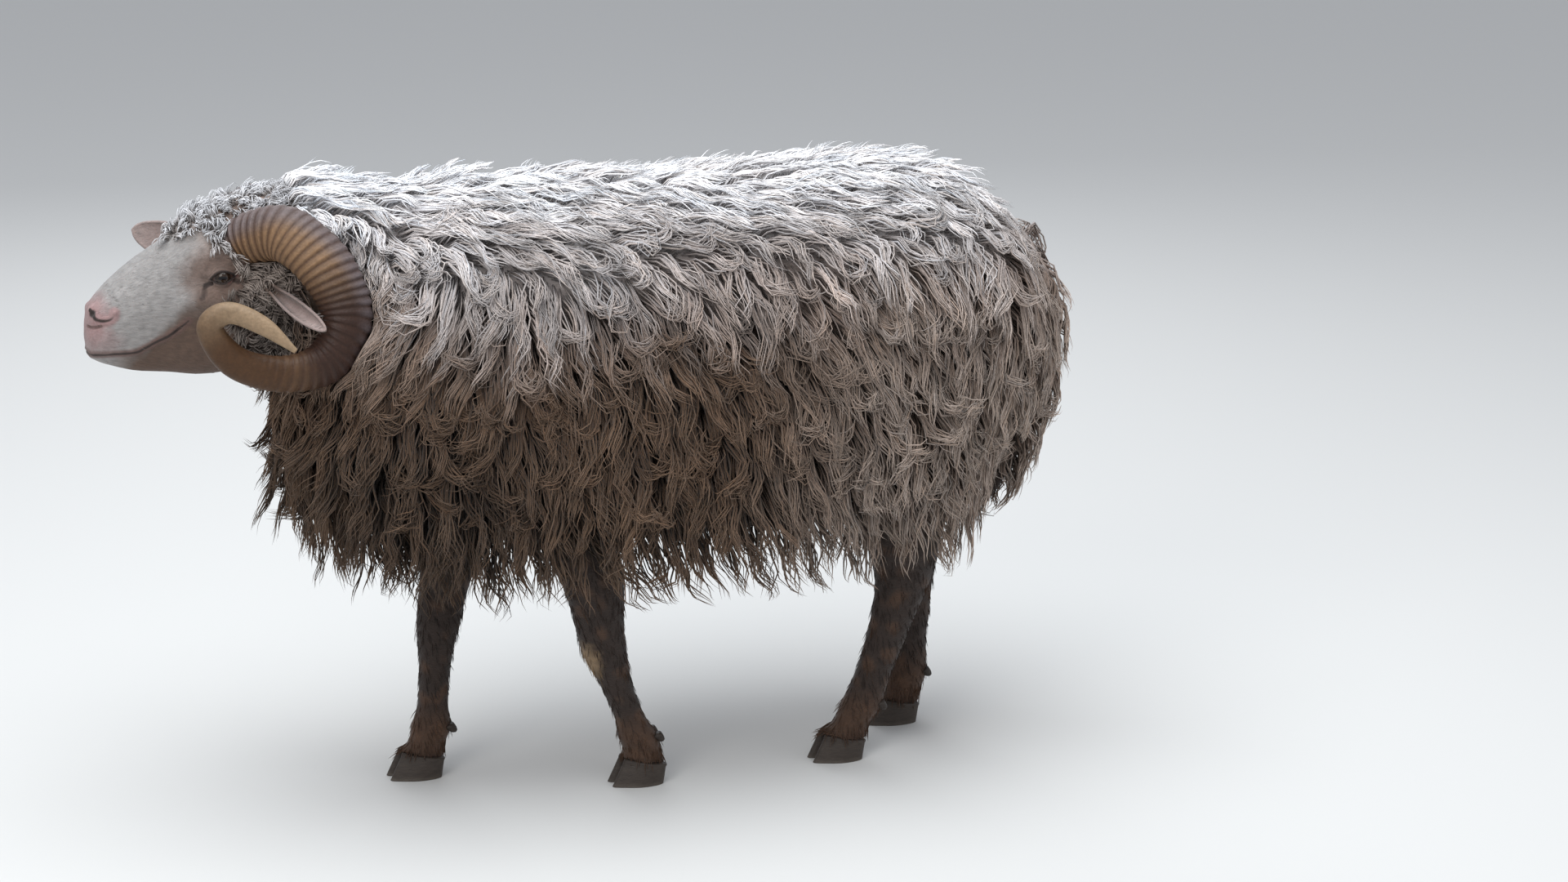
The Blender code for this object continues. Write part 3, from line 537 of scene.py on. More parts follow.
def eyeAngles(left):
    out, along, up = eyeFrame()
    if up[2] < 0:
        up = -up
    way = left - eyeMiddle
    far = np.linalg.norm(way, axis=1)
    w = way / np.maximum(far, 1e-9)[:, None]
    return far, w, np.arctan2(w @ along, w @ out), np.arctan2(w @ up, w @ out)


def lidGap(a, b):
    # below 0 between the lids, above 0 on them, in radians
    t = np.clip(np.abs(a) / head["lidLength"], 0, 1)
    opening = (1 - t ** 2) ** 0.85
    upper = head["lidUpper"] * opening
    lower = -head["lidLower"] * opening * 0.8
    gap = np.maximum(b - upper, lower - b)
    return np.where(np.abs(a) > head["lidLength"], np.maximum(gap, np.abs(a) - head["lidLength"]), gap)


def refine(item, wanted, rounds):
    for turn in range(rounds):
        shape = bmesh.new()
        shape.from_mesh(item.data)
        middles = np.array([f.calc_center_median() for f in shape.faces])
        pick = wanted(leftOf(middles), turn)
        edges = set()
        for f, yes in zip(shape.faces, pick):
            if yes:
                edges.update(f.edges)
        bmesh.ops.subdivide_edges(shape, edges=list(edges), cuts=1, use_grid_fill=True)
        bmesh.ops.triangulate(shape, faces=[f for f in shape.faces if len(f.verts) > 4])
        shape.to_mesh(item.data)
        shape.free()


def buildHead():
    points, faces = loftData(headRings())
    made = newObject("head", points, faces)
    lines = (mouthLine, nostrilLine, noseFold)

    def wanted(left, turn):
        near = np.linalg.norm(left - eyeMiddle, axis=1) < (0.031, 0.025, 0.0205)[turn]
        for line in lines:
            near |= toLine(left, line)[0] < (0.0105, 0.0065, 0.0038)[turn]
        if turn == 0:
            near |= toLine(left, browLine)[0] < 0.012
            near |= toLine(left, tearLine)[0] < 0.010
        return near

    refine(made, wanted, 3)
    places = pointsOf(made.data)
    cells = [tuple(f.vertices) for f in made.data.polygons]
    ground = BVHTree.FromPolygons([tuple(q) for q in places], cells)
    laid = {id(line): [tuple(ground.find_nearest(Vector(q))[0]) for q in line]
            for line in lines + (tearLine, browLine, cheekLine, frontCorner, rearCorner)}
    side = np.where(places[:, 1] > 0, -1.0, 1.0)
    bothSides = np.stack([np.ones_like(side), side, np.ones_like(side)], 1)
    left = leftOf(places)

    def move(amount):
        nonlocal left
        setPoints(made.data, left * bothSides)
        normals = vectors(made.data.vertex_normals, "vector", len(made.data.vertices))
        normals[:, 1] *= side
        left = left + normals * amount[:, None]

    def bump(centre, radii, height):
        away = (left - np.array(centre)) / np.array(radii)
        move(height * np.exp(-(away ** 2).sum(1)))

    def ridge(line, width, height, fade=(0.18, 0.82)):
        away, where = toLine(left, laid[id(line)])
        ends = smooth(-0.001, fade[0], where) if fade[0] else 1.0
        ends = ends * (smooth(1.001, fade[1], where) if fade[1] else 1.0)
        move(height * np.exp(-(away / width) ** 2) * ends)

    bump((-0.566, -0.050, 0.704), (0.030, 0.020, 0.014), 0.0070)  # brow
    bump((-0.560, -0.052, 0.650), (0.040, 0.020, 0.010), 0.0035)  # cheek bone
    bump((-0.600, -0.047, 0.668), (0.018, 0.012, 0.016), -0.0040)  # before the eye
    bump((-0.522, -0.058, 0.625), (0.034, 0.020, 0.036), 0.0050)  # jaw muscle
    bump((-0.590, -0.040, 0.615), (0.022, 0.016, 0.022), -0.0030)
    bump((-0.655, -0.032, 0.640), (0.024, 0.012, 0.022), 0.0022)  # side of the muzzle
    bump((-0.705, -0.024, 0.640), (0.012, 0.010, 0.012), 0.0030)  # round the nostril
    bump((-0.713, 0.000, 0.612), (0.008, 0.0035, 0.018), -0.0016)  # cleft of the upper lip
    bump((-0.698, -0.018, 0.602), (0.018, 0.016, 0.008), 0.0022)  # upper lip
    bump((-0.700, -0.010, 0.578), (0.014, 0.014, 0.008), 0.0012)  # chin
    ridge(cheekLine, 0.0070, 0.0022)
    ridge(browLine, 0.0048, 0.0020)
    ridge(tearLine, 0.0030, -0.0022)

    # lids wrapped round the eyeball, and the opening between them
    far, w, a, b = eyeAngles(left)
    gap = lidGap(a, b)
    outward = w @ eyeFrame()[0] > 0.15
    lid = head["eyeRadius"] + head["lidThickness"] + 0.0012 * smooth(0.02, 0.25, gap) * (b > 0)
    hold = smooth(0.06, 1.15, gap)
    size = mix(lid, far, hold)
    size = np.where(gap < 0, head["eyeRadius"] - 0.0022, size)
    near = outward & (far < 0.045) & (gap < 1.15)
    left = np.where(near[:, None], eyeMiddle + w * size[:, None], left)
    away = gap * head["eyeRadius"]
    fold = np.exp(-((away - 0.0062) / 0.0011) ** 2) * (near & (b > 0.1))
    fold += 0.7 * np.exp(-((away - 0.0075) / 0.0012) ** 2) * (near & (b < -0.1))
    left = left - w * (0.0011 * fold)[:, None]

    whole = (None, None)
    ridge(frontCorner, 0.0022, -0.0026, whole)
    ridge(rearCorner, 0.0024, -0.0022, whole)
    ridge(mouthLine, 0.0048, 0.0020, (None, 0.80))
    ridge(nostrilLine, 0.0052, 0.0030, whole)
    ridge(mouthLine, head["mouthWidth"], -head["mouthDepth"], (None, 0.80))
    ridge(nostrilLine, head["noseWidth"], -head["noseDepth"], (None, 0.70))
    bump((-0.7066, -0.0190, 0.6350), (0.0042, 0.0042, 0.0040), -0.0060)  # the hole of the nostril
    ridge(noseFold, 0.0014, -0.0020)
    setPoints(made.data, left * bothSides)
    return made


# Ears: root, tip, half width and the way the cup faces
ears = {
    "left": ((-0.516, -0.064, 0.668), (-0.468, -0.172, 0.628), 0.0106, (-0.45, -0.4, 0.6)),
    "right": ((-0.522, 0.064, 0.664), (-0.630, 0.152, 0.699), 0.025, (-0.8, -0.5, 0.25)),
}
# place, share of the half width, depth of the cup
earTable = (
    (-0.12, 0.50, 0.0115), (0.0, 0.55, 0.0125), (0.15, 0.62, 0.0125), (0.35, 0.92, 0.0140),
    (0.55, 1.0, 0.0120), (0.75, 0.88, 0.0085), (0.90, 0.60, 0.0050), (0.97, 0.33, 0.0030),
    (1.0, 0.08, 0.0016))


def buildEar(side):
    root, tip, half, faces = (np.array(v) for v in ears[side])
    ahead = unit(tip - root)
    faces = unit(faces - ahead * (faces @ ahead))
    across = np.cross(ahead, faces)
    length = np.linalg.norm(tip - root)
    rings = []
    arc = np.linspace(0, math.pi, 15)
    for place, width, depth in spline(earTable, 6):
        centre = root + ahead * (length * place)
        wide = half * width
        wall = min(0.0030, depth)
        outer = centre + across * (wide * np.cos(arc))[:, None] - faces * (depth * np.sin(arc))[:, None]
        inner = (centre + across * (max(wide - wall, 0.0012) * np.cos(arc))[:, None]
                 - faces * ((depth - wall) * np.sin(arc) - 0.0010)[:, None])
        rings.append(np.vstack([outer, inner[::-1]]))
    rings = np.array(rings)
    count, around = rings.shape[:2]
    points = rings.reshape(-1, 3)
    bend = points - root
    along = np.clip(bend @ ahead / length, 0, 1)
    points = points - faces * (0.006 * np.sin(along * math.pi))[:, None]
    cells = gridCells(count, around)
    for end in (0, (count - 1) * around):
        for k in range(around // 2 - 1):
            cell = (end + k, end + k + 1, end + around - 2 - k, end + around - 1 - k)
            cells.append(cell if end else cell[::-1])
    return newObject("ear", points, cells)


def eachEar(places):
    # for both ears: the share of the way to the tip, the distance from the middle line, and the cup's way
    for root, tip, half, faces in ears.values():
        root, tip, faces = (np.array(v) for v in (root, tip, faces))
        ahead = tip - root
        t, near = besideLine(places, root, tip)
        yield t, near, unit(faces - ahead * (faces @ ahead) / (ahead @ ahead))


def earShares(places):
    # how much each place belongs to an ear, and how far along it
    most = np.zeros(len(places))
    along = np.zeros(len(places))
    for t, near, cup in eachEar(places):
        hit = smooth(0.030, 0.022, near) * smooth(0.16, 0.30, t)
        along = np.where(hit > most, t, along)
        most = np.maximum(most, hit)
    return most, along


def earInside(places, normals):
    inside = np.zeros(len(places))
    for t, near, cup in eachEar(places):
        hit = (near < 0.030) * smooth(0.12, 0.35, t) * smooth(0.1, 0.6, normals @ cup)
        inside = np.maximum(inside, hit)
    return inside


# Colours of the face and the legs
face = {
    "white": (0.285, 0.27, 0.262),
    "forehead": (0.30, 0.245, 0.22),
    "pink": (0.31, 0.195, 0.19),
    "dark": (0.030, 0.020, 0.017),
    "taupe": (0.165, 0.112, 0.090),
    "brown": (0.088, 0.051, 0.034),
    "lip": (0.12, 0.070, 0.060),
    "lidPink": (0.26, 0.11, 0.095),
    "earBack": (0.235, 0.20, 0.185),
    "earInner": (0.32, 0.235, 0.215),
    "earRim": (0.36, 0.33, 0.32),
    "legDark": (0.026, 0.016, 0.012),
    "legRufous": (0.085, 0.042, 0.022),
    "legTan": (0.30, 0.205, 0.115),
}


def curlWeights(places):
    left = leftOf(places)
    x, y, z = left.T
    wander = 0.008 * waves(places, 0.03, 12)
    poll = smooth(-0.612, -0.590, x + wander) * smooth(0.722, 0.736, z - (x + 0.58) * 0.2 + wander)
    temple = smooth(-0.552, -0.534, x + wander + 0.016 * smooth(0.690, 0.705, z)) * smooth(0.640, 0.655, z)
    under = smooth(-0.556, -0.542, x + wander) * smooth(0.572, 0.590, z)
    clear = smooth(0.025, 0.032, np.linalg.norm(left - eyeMiddle, axis=1))  # none by the eye
    return np.clip(poll + 0.8 * temple + 0.5 * under, 0, 1) * clear * (x < -0.462) * (y > -0.073)


def hairColours(places):
    # the colour of the short hair and bare skin at these places of the head, the ears and the legs
    c = {k: np.array(v) for k, v in face.items()}
    left = leftOf(places)
    x, z = left[:, 0], left[:, 2]
    speck = waves(places, 0.010, 21)
    tone = np.broadcast_to(c["white"], places.shape).copy()

    def lay(colour, share):
        nonlocal tone
        tone = mix(tone, c[colour], np.clip(share, 0, 1)[:, None])

    def spot(centre, radii, edge=0.35):
        away = np.sqrt((((left - np.array(centre)) / np.array(radii)) ** 2).sum(1))
        return smooth(1 + edge, 1 - edge, away + 0.10 * speck)

    lay("forehead", smooth(-0.61, -0.56, x + 0.01 * speck) * smooth(0.66, 0.72, z))
    # the brown of the cheek and lower jaw starts behind a slanting edge
    edge = (x + 0.606) * 0.75 - (z - 0.640) * 0.66
    lay("brown", 0.85 * smooth(-0.006, 0.010, edge + 0.004 * speck) * smooth(0.700, 0.655, z))
    away, where = toLine(left, mouthLine)
    # below the mouth line the brown is painted shade under the upper lip
    lipHeight = np.interp(x, [-0.714, -0.668, -0.630, -0.600], [0.592, 0.590, 0.605, 0.628])
    under = smooth(0.002, -0.006, z - lipHeight)
    lay("brown", 0.70 * under * smooth(-0.700, -0.660, x))
    lay("taupe", 0.85 * spot((-0.562, -0.052, 0.674), (0.046, 0.040, 0.031)))
    lay("taupe", 0.45 * spot((-0.538, -0.058, 0.690), (0.050, 0.040, 0.034)))
    lay("taupe", 0.55 * smooth(-0.575, -0.530, x) * smooth(0.730, 0.700, z))
    lay("pink", 0.90 * spot((-0.710, -0.014, 0.630), (0.022, 0.034, 0.030), 0.5))
    lay("pink", 0.45 * spot((-0.702, -0.020, 0.602), (0.026, 0.030, 0.016), 0.5))
    near, part = toLine(left, nostrilLine)
    lay("pink", 0.9 * smooth(0.009, 0.004, near))
    # the dark in the nostril's slit and hole is painted shade inside the nostril
    lay("dark", smooth(0.0034, 0.0014, near + 0.0018 * smooth(0.3, 1.0, part)))
    lay("dark", spot((-0.7072, -0.0190, 0.6345), (0.0045, 0.0050, 0.0042), 0.4))
    lay("lip", 0.75 * smooth(0.0075, 0.0030, away))
    # the dark along the mouth line is painted shade in the slit between the lips
    lay("dark", 0.95 * smooth(0.0028, 0.0012, away + 0.0012 * smooth(0.8, 1.0, where)))
    lay("lip", 0.8 * smooth(0.003, 0.001, toLine(left, noseFold)[0]))
    lay("dark", 0.75 * smooth(0.0042, 0.0014, toLine(left, tearLine)[0]))
    lay("brown", 0.4 * smooth(0.005, 0.002, toLine(left, browLine)[0]))
    lay("taupe", 0.75 * curlWeights(places))
    far, w, a, b = eyeAngles(left)
    gap = lidGap(a, b)
    close = (far < 0.030) & (w @ eyeFrame()[0] > 0.0)
    lay("lidPink", 0.85 * smooth(0.34, 0.14, gap) * close * (a > 0.3) * (b < 0.2))
    lay("dark", smooth(0.22, 0.08, gap) * close)
    lay("dark", 0.95 * smooth(0.0040, 0.0018, toLine(left, frontCorner)[0]))
    lay("dark", 0.80 * smooth(0.0042, 0.0020, toLine(left, rearCorner)[0]))
    lay("lidPink", 0.55 * smooth(0.0022, 0.0010, toLine(left, rearCorner)[0]))
    share, along = earShares(places)
    lay("earBack", share)
    lay("earRim", 0.6 * share * smooth(0.5, 1.0, along))
    tone *= (1 + 0.10 * speck * (x > -0.70))[:, None]
    # legs
    leg = smooth(0.43, 0.40, z) * (x > -0.46)
    lay("legDark", leg)
    rear = waves(places, 0.030, 8)
    lay("legRufous", leg * smooth(0.15, 0.9, rear) * 0.55)
    lay("legRufous", leg * smooth(0.105, 0.060, z) * 0.6)
    knee = np.sqrt(((places[:, 0] + 0.140) / 0.017) ** 2 + ((z - 0.158) / 0.028) ** 2)
    lay("legTan", 0.8 * leg * smooth(1.5, 0.5, knee + 0.15 * speck) * (places[:, 1] < 0) * (x < -0.1))
    return tone


def skinColours(places):
    woolly = smooth(0.345, 0.385, places[:, 2]) * smooth(-0.480, -0.462, places[:, 0])
    return mix(hairColours(places), fleeceColours(places, np.zeros(len(places))), woolly[:, None])


skinFinish = material("faceHair", roughness=0.72, gloss=0.3, sheen=0.12, softness=0.06,
                      grains=((0.0016, (0.22, 1, 0.6), 0.0010), (0.0007, (0.25, 1, 1), 0.0005)),
                      tone=((0.0020, (0.22, 1, 0.6), 0.13), (0.012, (1, 1, 1), 0.08)))

skin = buildBody()
print("body", len(skin.data.polygons))
headPiece = buildHead()
print("head", len(headPiece.data.polygons))
join(skin, [headPiece] + [buildEar(side) for side in ears])
print("skin", len(skin.data.polygons))
spots = pointsOf(skin.data)
inner = 0.70 * earInside(spots, vectors(skin.data.vertex_normals, "vector", len(spots)))
paint(skin.data, mix(skinColours(spots), np.array(face["earInner"]), inner[:, None]))


# The surface that the coat grows on, kept before the skin moves into the frame
shape = bmesh.new()
shape.from_mesh(skin.data)
bmesh.ops.triangulate(shape, faces=shape.faces)
triangles = np.array([[v.index for v in f.verts] for f in shape.faces])
surfacePoints = pointsOf(skin.data)
surfaceNormals = np.array([v.normal for v in shape.verts])
surface = BVHTree.FromBMesh(shape)
shape.free()
corners = surfacePoints[triangles]
triangleMiddles = corners.mean(1)
triangleNormals = np.cross(corners[:, 1] - corners[:, 0], corners[:, 2] - corners[:, 0])
triangleAreas = np.linalg.norm(triangleNormals, axis=1) / 2
triangleNormals = unit(triangleNormals)
finishPiece(skin, skinFinish, (
    "torso_front", "torso_rear", "neck", "head", "ear_left", "ear_right", "foreleg_left", "foreleg_right",
    "hindleg_left", "hindleg_right", "tail"))
print("skin placed")


# The coat

def scatter(weights, count, seed):
    # places and normals spread over the surface, more where the weights are high
    pick = np.random.RandomState(seed)
    total = np.cumsum(weights * triangleAreas)
    cell = np.searchsorted(total, (np.arange(count) + pick.random_sample(count)) / count * total[-1])
    cell = np.minimum(cell, len(total) - 1)
    u, v = pick.random_sample((2, count))
    flip = u + v > 1
    u, v = np.where(flip, 1 - u, u), np.where(flip, 1 - v, v)
    a, b, c = corners[cell].transpose(1, 0, 2)
    places = a + (b - a) * u[:, None] + (c - a) * v[:, None]
    index = triangles[cell]
    normals = unit(surfaceNormals[index].sum(1))
    return places, normals


def thin(places, spacing):
    # the numbers of places that keep this distance from each other
    grid = {}
    kept = []
    for i, p in enumerate(places):
        key = tuple((p / spacing).astype(int))
        near = [j for dx in (-1, 0, 1) for dy in (-1, 0, 1) for dz in (-1, 0, 1)
                for j in grid.get((key[0] + dx, key[1] + dy, key[2] + dz), ())]
        if all(((places[j] - p) ** 2).sum() > spacing ** 2 for j in near):
            grid.setdefault(key, []).append(i)
            kept.append(i)
    return np.array(kept)


def hornDistance(places):
    # distance outside the horns, and the way out of them
    left = leftOf(places)
    path = spline(hornTable, 4)
    best = np.full(len(places), 9.0)
    way = np.zeros((len(places), 3))
    for a, b in zip(path[:-1], path[1:]):
        ahead = b[:3] - a[:3]
        t = np.clip((left - a[:3]) @ ahead / (ahead @ ahead), 0, 1)
        off = left - a[:3] - t[:, None] * ahead
        d = np.linalg.norm(off, axis=1) - (a[3] + (b[3] - a[3]) * t)
        near = d < best
        best = np.where(near, d, best)
        way = np.where(near[:, None], off, way)
    way = unit(way)
    way[:, 1] = np.where(places[:, 1] > 0, -way[:, 1], way[:, 1])
    return best, way


def clearHorns(points, room=0.0025, most=0.007):
    # move strands off the horns, and say which of them stay near where they grew
    flat = points.reshape(-1, 3)
    stays = np.ones(len(flat), bool)
    near = np.nonzero((flat[:, 0] < -0.38) & (flat[:, 2] > 0.52) & (np.abs(flat[:, 1]) > 0.02))[0]
    if len(near):
        away, way = hornDistance(flat[near])
        push = np.maximum(0.0, room - away)
        flat[near] += way * push[:, None]
        stays[near] = push < most
    return flat.reshape(points.shape), stays.reshape(points.shape[:2]).all(1)


def crossesHorns(line):
    # which strands run through a horn between their stations
    middles = (line[:, :-1] + line[:, 1:]) / 2
    near = (middles[..., 0] < -0.38) & (middles[..., 2] > 0.52)
    rows, columns = np.nonzero(near)
    away = hornDistance(middles[rows, columns])[0]
    crossing = np.zeros(len(line), bool)
    crossing[rows[away < 0.0005]] = True
    return crossing


# x, y, z and half width of the left horn along its curl
hornTable = (
    (-0.543, -0.030, 0.703, 0.024), (-0.522, -0.051, 0.718, 0.0300), (-0.489, -0.083, 0.723, 0.0325),
    (-0.450, -0.111, 0.684, 0.0325), (-0.434, -0.126, 0.629, 0.0300), (-0.460, -0.134, 0.585, 0.0255),
    (-0.512, -0.138, 0.574, 0.0210), (-0.566, -0.140, 0.592, 0.0188), (-0.595, -0.144, 0.634, 0.0150),
    (-0.574, -0.150, 0.652, 0.0125), (-0.538, -0.162, 0.637, 0.0108), (-0.504, -0.177, 0.608, 0.0030))

wool = {
    "guides": 0.0185,  # spacing of the locks
    "strands": 34500,
    "length": 0.108,
    "backLength": 0.078,
    "neckLength": 0.066,
    "tailLength": 0.085,
    "tailDepth": 0.024,
    "lowest": 0.243,  # the fringe ends here
    "width": 0.0022,
    "thickness": 0.0015,
    "gather": 0.70,  # how far the strands of a lock close up at its tip
    "waveLength": 0.066,
    "waveHeight": 0.0062,
    "swirl": 0.55,  # how much the lie of the locks wanders
    "loose": 0.17,  # share of the strands that stray from their lock
    "ringed": 0.34,  # share of the locks on the side that end in a ring
    "mostStretch": 1.9,
    "sharpest": -0.30,  # the cosine of the sharpest turn in a strand
    "seed": 31,
}


def coatDepth(place, n):
    up = n[2]
    depth = mix(body["coatSide"], body["coatTop"] if up > 0 else body["coatUnder"], abs(up))
    depth = mix(depth, body["coatEnd"], min(1.0, n[0] ** 2)) * (1 - body["coreShare"])
    onTail = place[0] > 0.452 and abs(place[1]) < 0.024
    besideTail = float(smooth(0.41, 0.45, place[0]) * smooth(0.075, 0.045, abs(place[1])))
    return wool["tailDepth"] if onTail else depth * (1 - 0.45 * besideTail)


def guidePaths(places, normals, lengths, steps=14):
    # where each lock runs: it leaves the skin, bends down and back and lies on the coat below it
    pick = np.random.RandomState(wool["seed"])
    paths = np.empty((len(places), steps + 1, 3))
    outs = np.empty((len(places), steps + 1, 3))
    lumps = 0.88 + 0.16 * waves(places, 0.10, 3) + pick.uniform(-0.18, 0.18, len(places))
    leans = (np.interp(places[:, 0], (-0.46, -0.35, -0.10, 0.25, 0.38), (0.02, 0.05, 0.30, 0.26, 0.0))
             + pick.normal(0, 0.13, len(places)))
    drift = wool["swirl"] * (waves(places, 0.13, 9) + 0.6 * waves(places, 0.055, 10))
    drift *= 0.45 + 0.55 * smooth(0.36, 0.52, places[:, 2])
    onSide = smooth(0.40, 0.50, places[:, 2]) * (np.abs(normals[:, 2]) < 0.75)
    ringed = (pick.random_sample(len(places)) < wool["ringed"] * onSide) * pick.choice((-1, 1), len(places))
    ringed = ringed * pick.uniform(2.6, 5.0, len(places))
    for i, (root, normal) in enumerate(zip(places, normals)):
        place = Vector(root)
        out = Vector(normal)
        depth = float(coatDepth(root, normal)) * lumps[i]
        step = lengths[i] / steps
        heading = out.copy()
        for k in range(steps + 1):
            share = k / steps
            paths[i, k] = place
            outs[i, k] = out
            lie = Vector((leans[i] + drift[i] * (0.4 + 0.6 * share), 0.0, -1.0))
            top = smooth(0.45, 0.80, out.z)
            if top > 0:
                over = min(1.0, abs(place.y) / 0.06) * math.copysign(1.0, place.y)
                lie = lie.lerp(Vector((0.85, 0.75 * over + 0.6 * drift[i], 0.30 - 0.5 * share)), float(top))
            lie.normalize()
            hold = 0.66 if share < 0.3 else 0.50
            if ringed[i] and share > 0.45:
                lie = Matrix.Rotation(float(ringed[i] * (share - 0.45) / 0.55), 3, out) @ lie
                hold = 0.30
            heading = (heading * hold + lie * (1 - hold)).normalized()
            place = place + heading * step
            near, nearNormal, index, far = surface.find_nearest(place)
            away = place - near
            height = away.length if away.dot(nearNormal) > 0 else -away.length
            low = depth * min(1.0, 0.30 + 0.75 * share)
            high = depth * (0.50 + 0.60 * share)
            if height < low:
                place = near + nearNormal * low
            elif height > high and (nearNormal.z > -0.15 or nearNormal.x > 0.3):
                place = near + nearNormal * high
            out = nearNormal if height < 0.05 else out
    return paths, outs


def tuftMesh(name, points, sides, lifts, widths, thickness, colours, rootUv, stations):
    # Many closed strands of three sides in one mesh. points is strand, station, xyz; the last station
    # is the tip.
    count, rings = points.shape[:2]
    rows = rings - 1
    across = sides[:, :rows] * (widths[:, :rows, None] / 2)
    rise = lifts[:, :rows] * (thickness[:, :rows, None])
    ring = np.stack([points[:, :rows] - across - rise * 0.33, points[:, :rows] + across - rise * 0.33,
                     points[:, :rows] + rise * 0.67], 2)
    vertices = np.concatenate([ring.reshape(count, -1, 3), points[:, -1:]], 1)
    each = rows * 3 + 1
    cell = [(0, 2, 1)]
    ends = [(0.0, 0.0, 0.0)]
    for i in range(rows - 1):
        for k in range(3):
            m = (k + 1) % 3
            a, b, c, d = i * 3 + k, i * 3 + m, i * 3 + 3 + m, i * 3 + 3 + k
            cell += [(a, b, c), (a, c, d)]
    for k in range(3):
        cell.append(((rows - 1) * 3 + k, (rows - 1) * 3 + (k + 1) % 3, each - 1))
    cell = np.array(cell)
    cells = (cell[None] + (np.arange(count) * each)[:, None, None]).reshape(-1, 3)
    mesh = bpy.data.meshes.new(name)
    mesh.vertices.add(count * each)
    mesh.vertices.foreach_set("co", vertices.astype(np.float32).ravel())
    mesh.loops.add(cells.size)
    mesh.loops.foreach_set("vertex_index", cells.astype(np.int32).ravel())
    mesh.polygons.add(len(cells))
    mesh.polygons.foreach_set("loop_start", np.arange(len(cells), dtype=np.int32) * 3)
    mesh.update(calc_edges=True)
    tone = np.concatenate([np.repeat(colours[:, :rows], 3, axis=1), colours[:, -1:]], 1)
    paint(mesh, tone.reshape(-1, 3))
    # every strand is a small patch at its root's place on the unwrap
    u = np.concatenate([np.tile((-0.5, 0.5, 0.0), rows), (0.0,)])
    v = np.concatenate([np.repeat(stations[:rows], 3), (1.0,)])
    uv = rootUv[:, None, :] + 0.003 * np.stack([u, v - 0.5], 1)[None]
    layer = mesh.uv_layers.new(name="OFBake")
    layer.data.foreach_set("uv", uv.reshape(-1, 2)[cells.ravel()].astype(np.float32).ravel())
    return link(name, mesh)


def frameAlong(points, outs):
    # the ways across and out of each strand at its stations
    ahead = unit(np.gradient(points, axis=1))
    sides = unit(np.cross(ahead, outs))
    return sides, unit(np.cross(sides, ahead))


def unwrap(places, normals):
    # the skin of the trunk and neck rolled out flat: along the body, and round it
    x = places[:, 0] + 0.10 * np.arcsin(np.clip(normals[:, 0], -1, 1))
    middle = np.interp(places[:, 0], [-0.50, -0.34, -0.2, 0.45], [0.66, 0.58, 0.54, 0.55])
    return np.stack([x, np.arctan2(places[:, 1], places[:, 2] - middle)], 1)


def fitUv(uv):
    low, high = uv.min(0), uv.max(0)
    return 0.01 + 0.98 * (uv - low) / np.maximum(high - low, 1e-6)


stations = np.array((0.0, 0.28, 0.47, 0.63, 0.77, 0.89, 1.0))


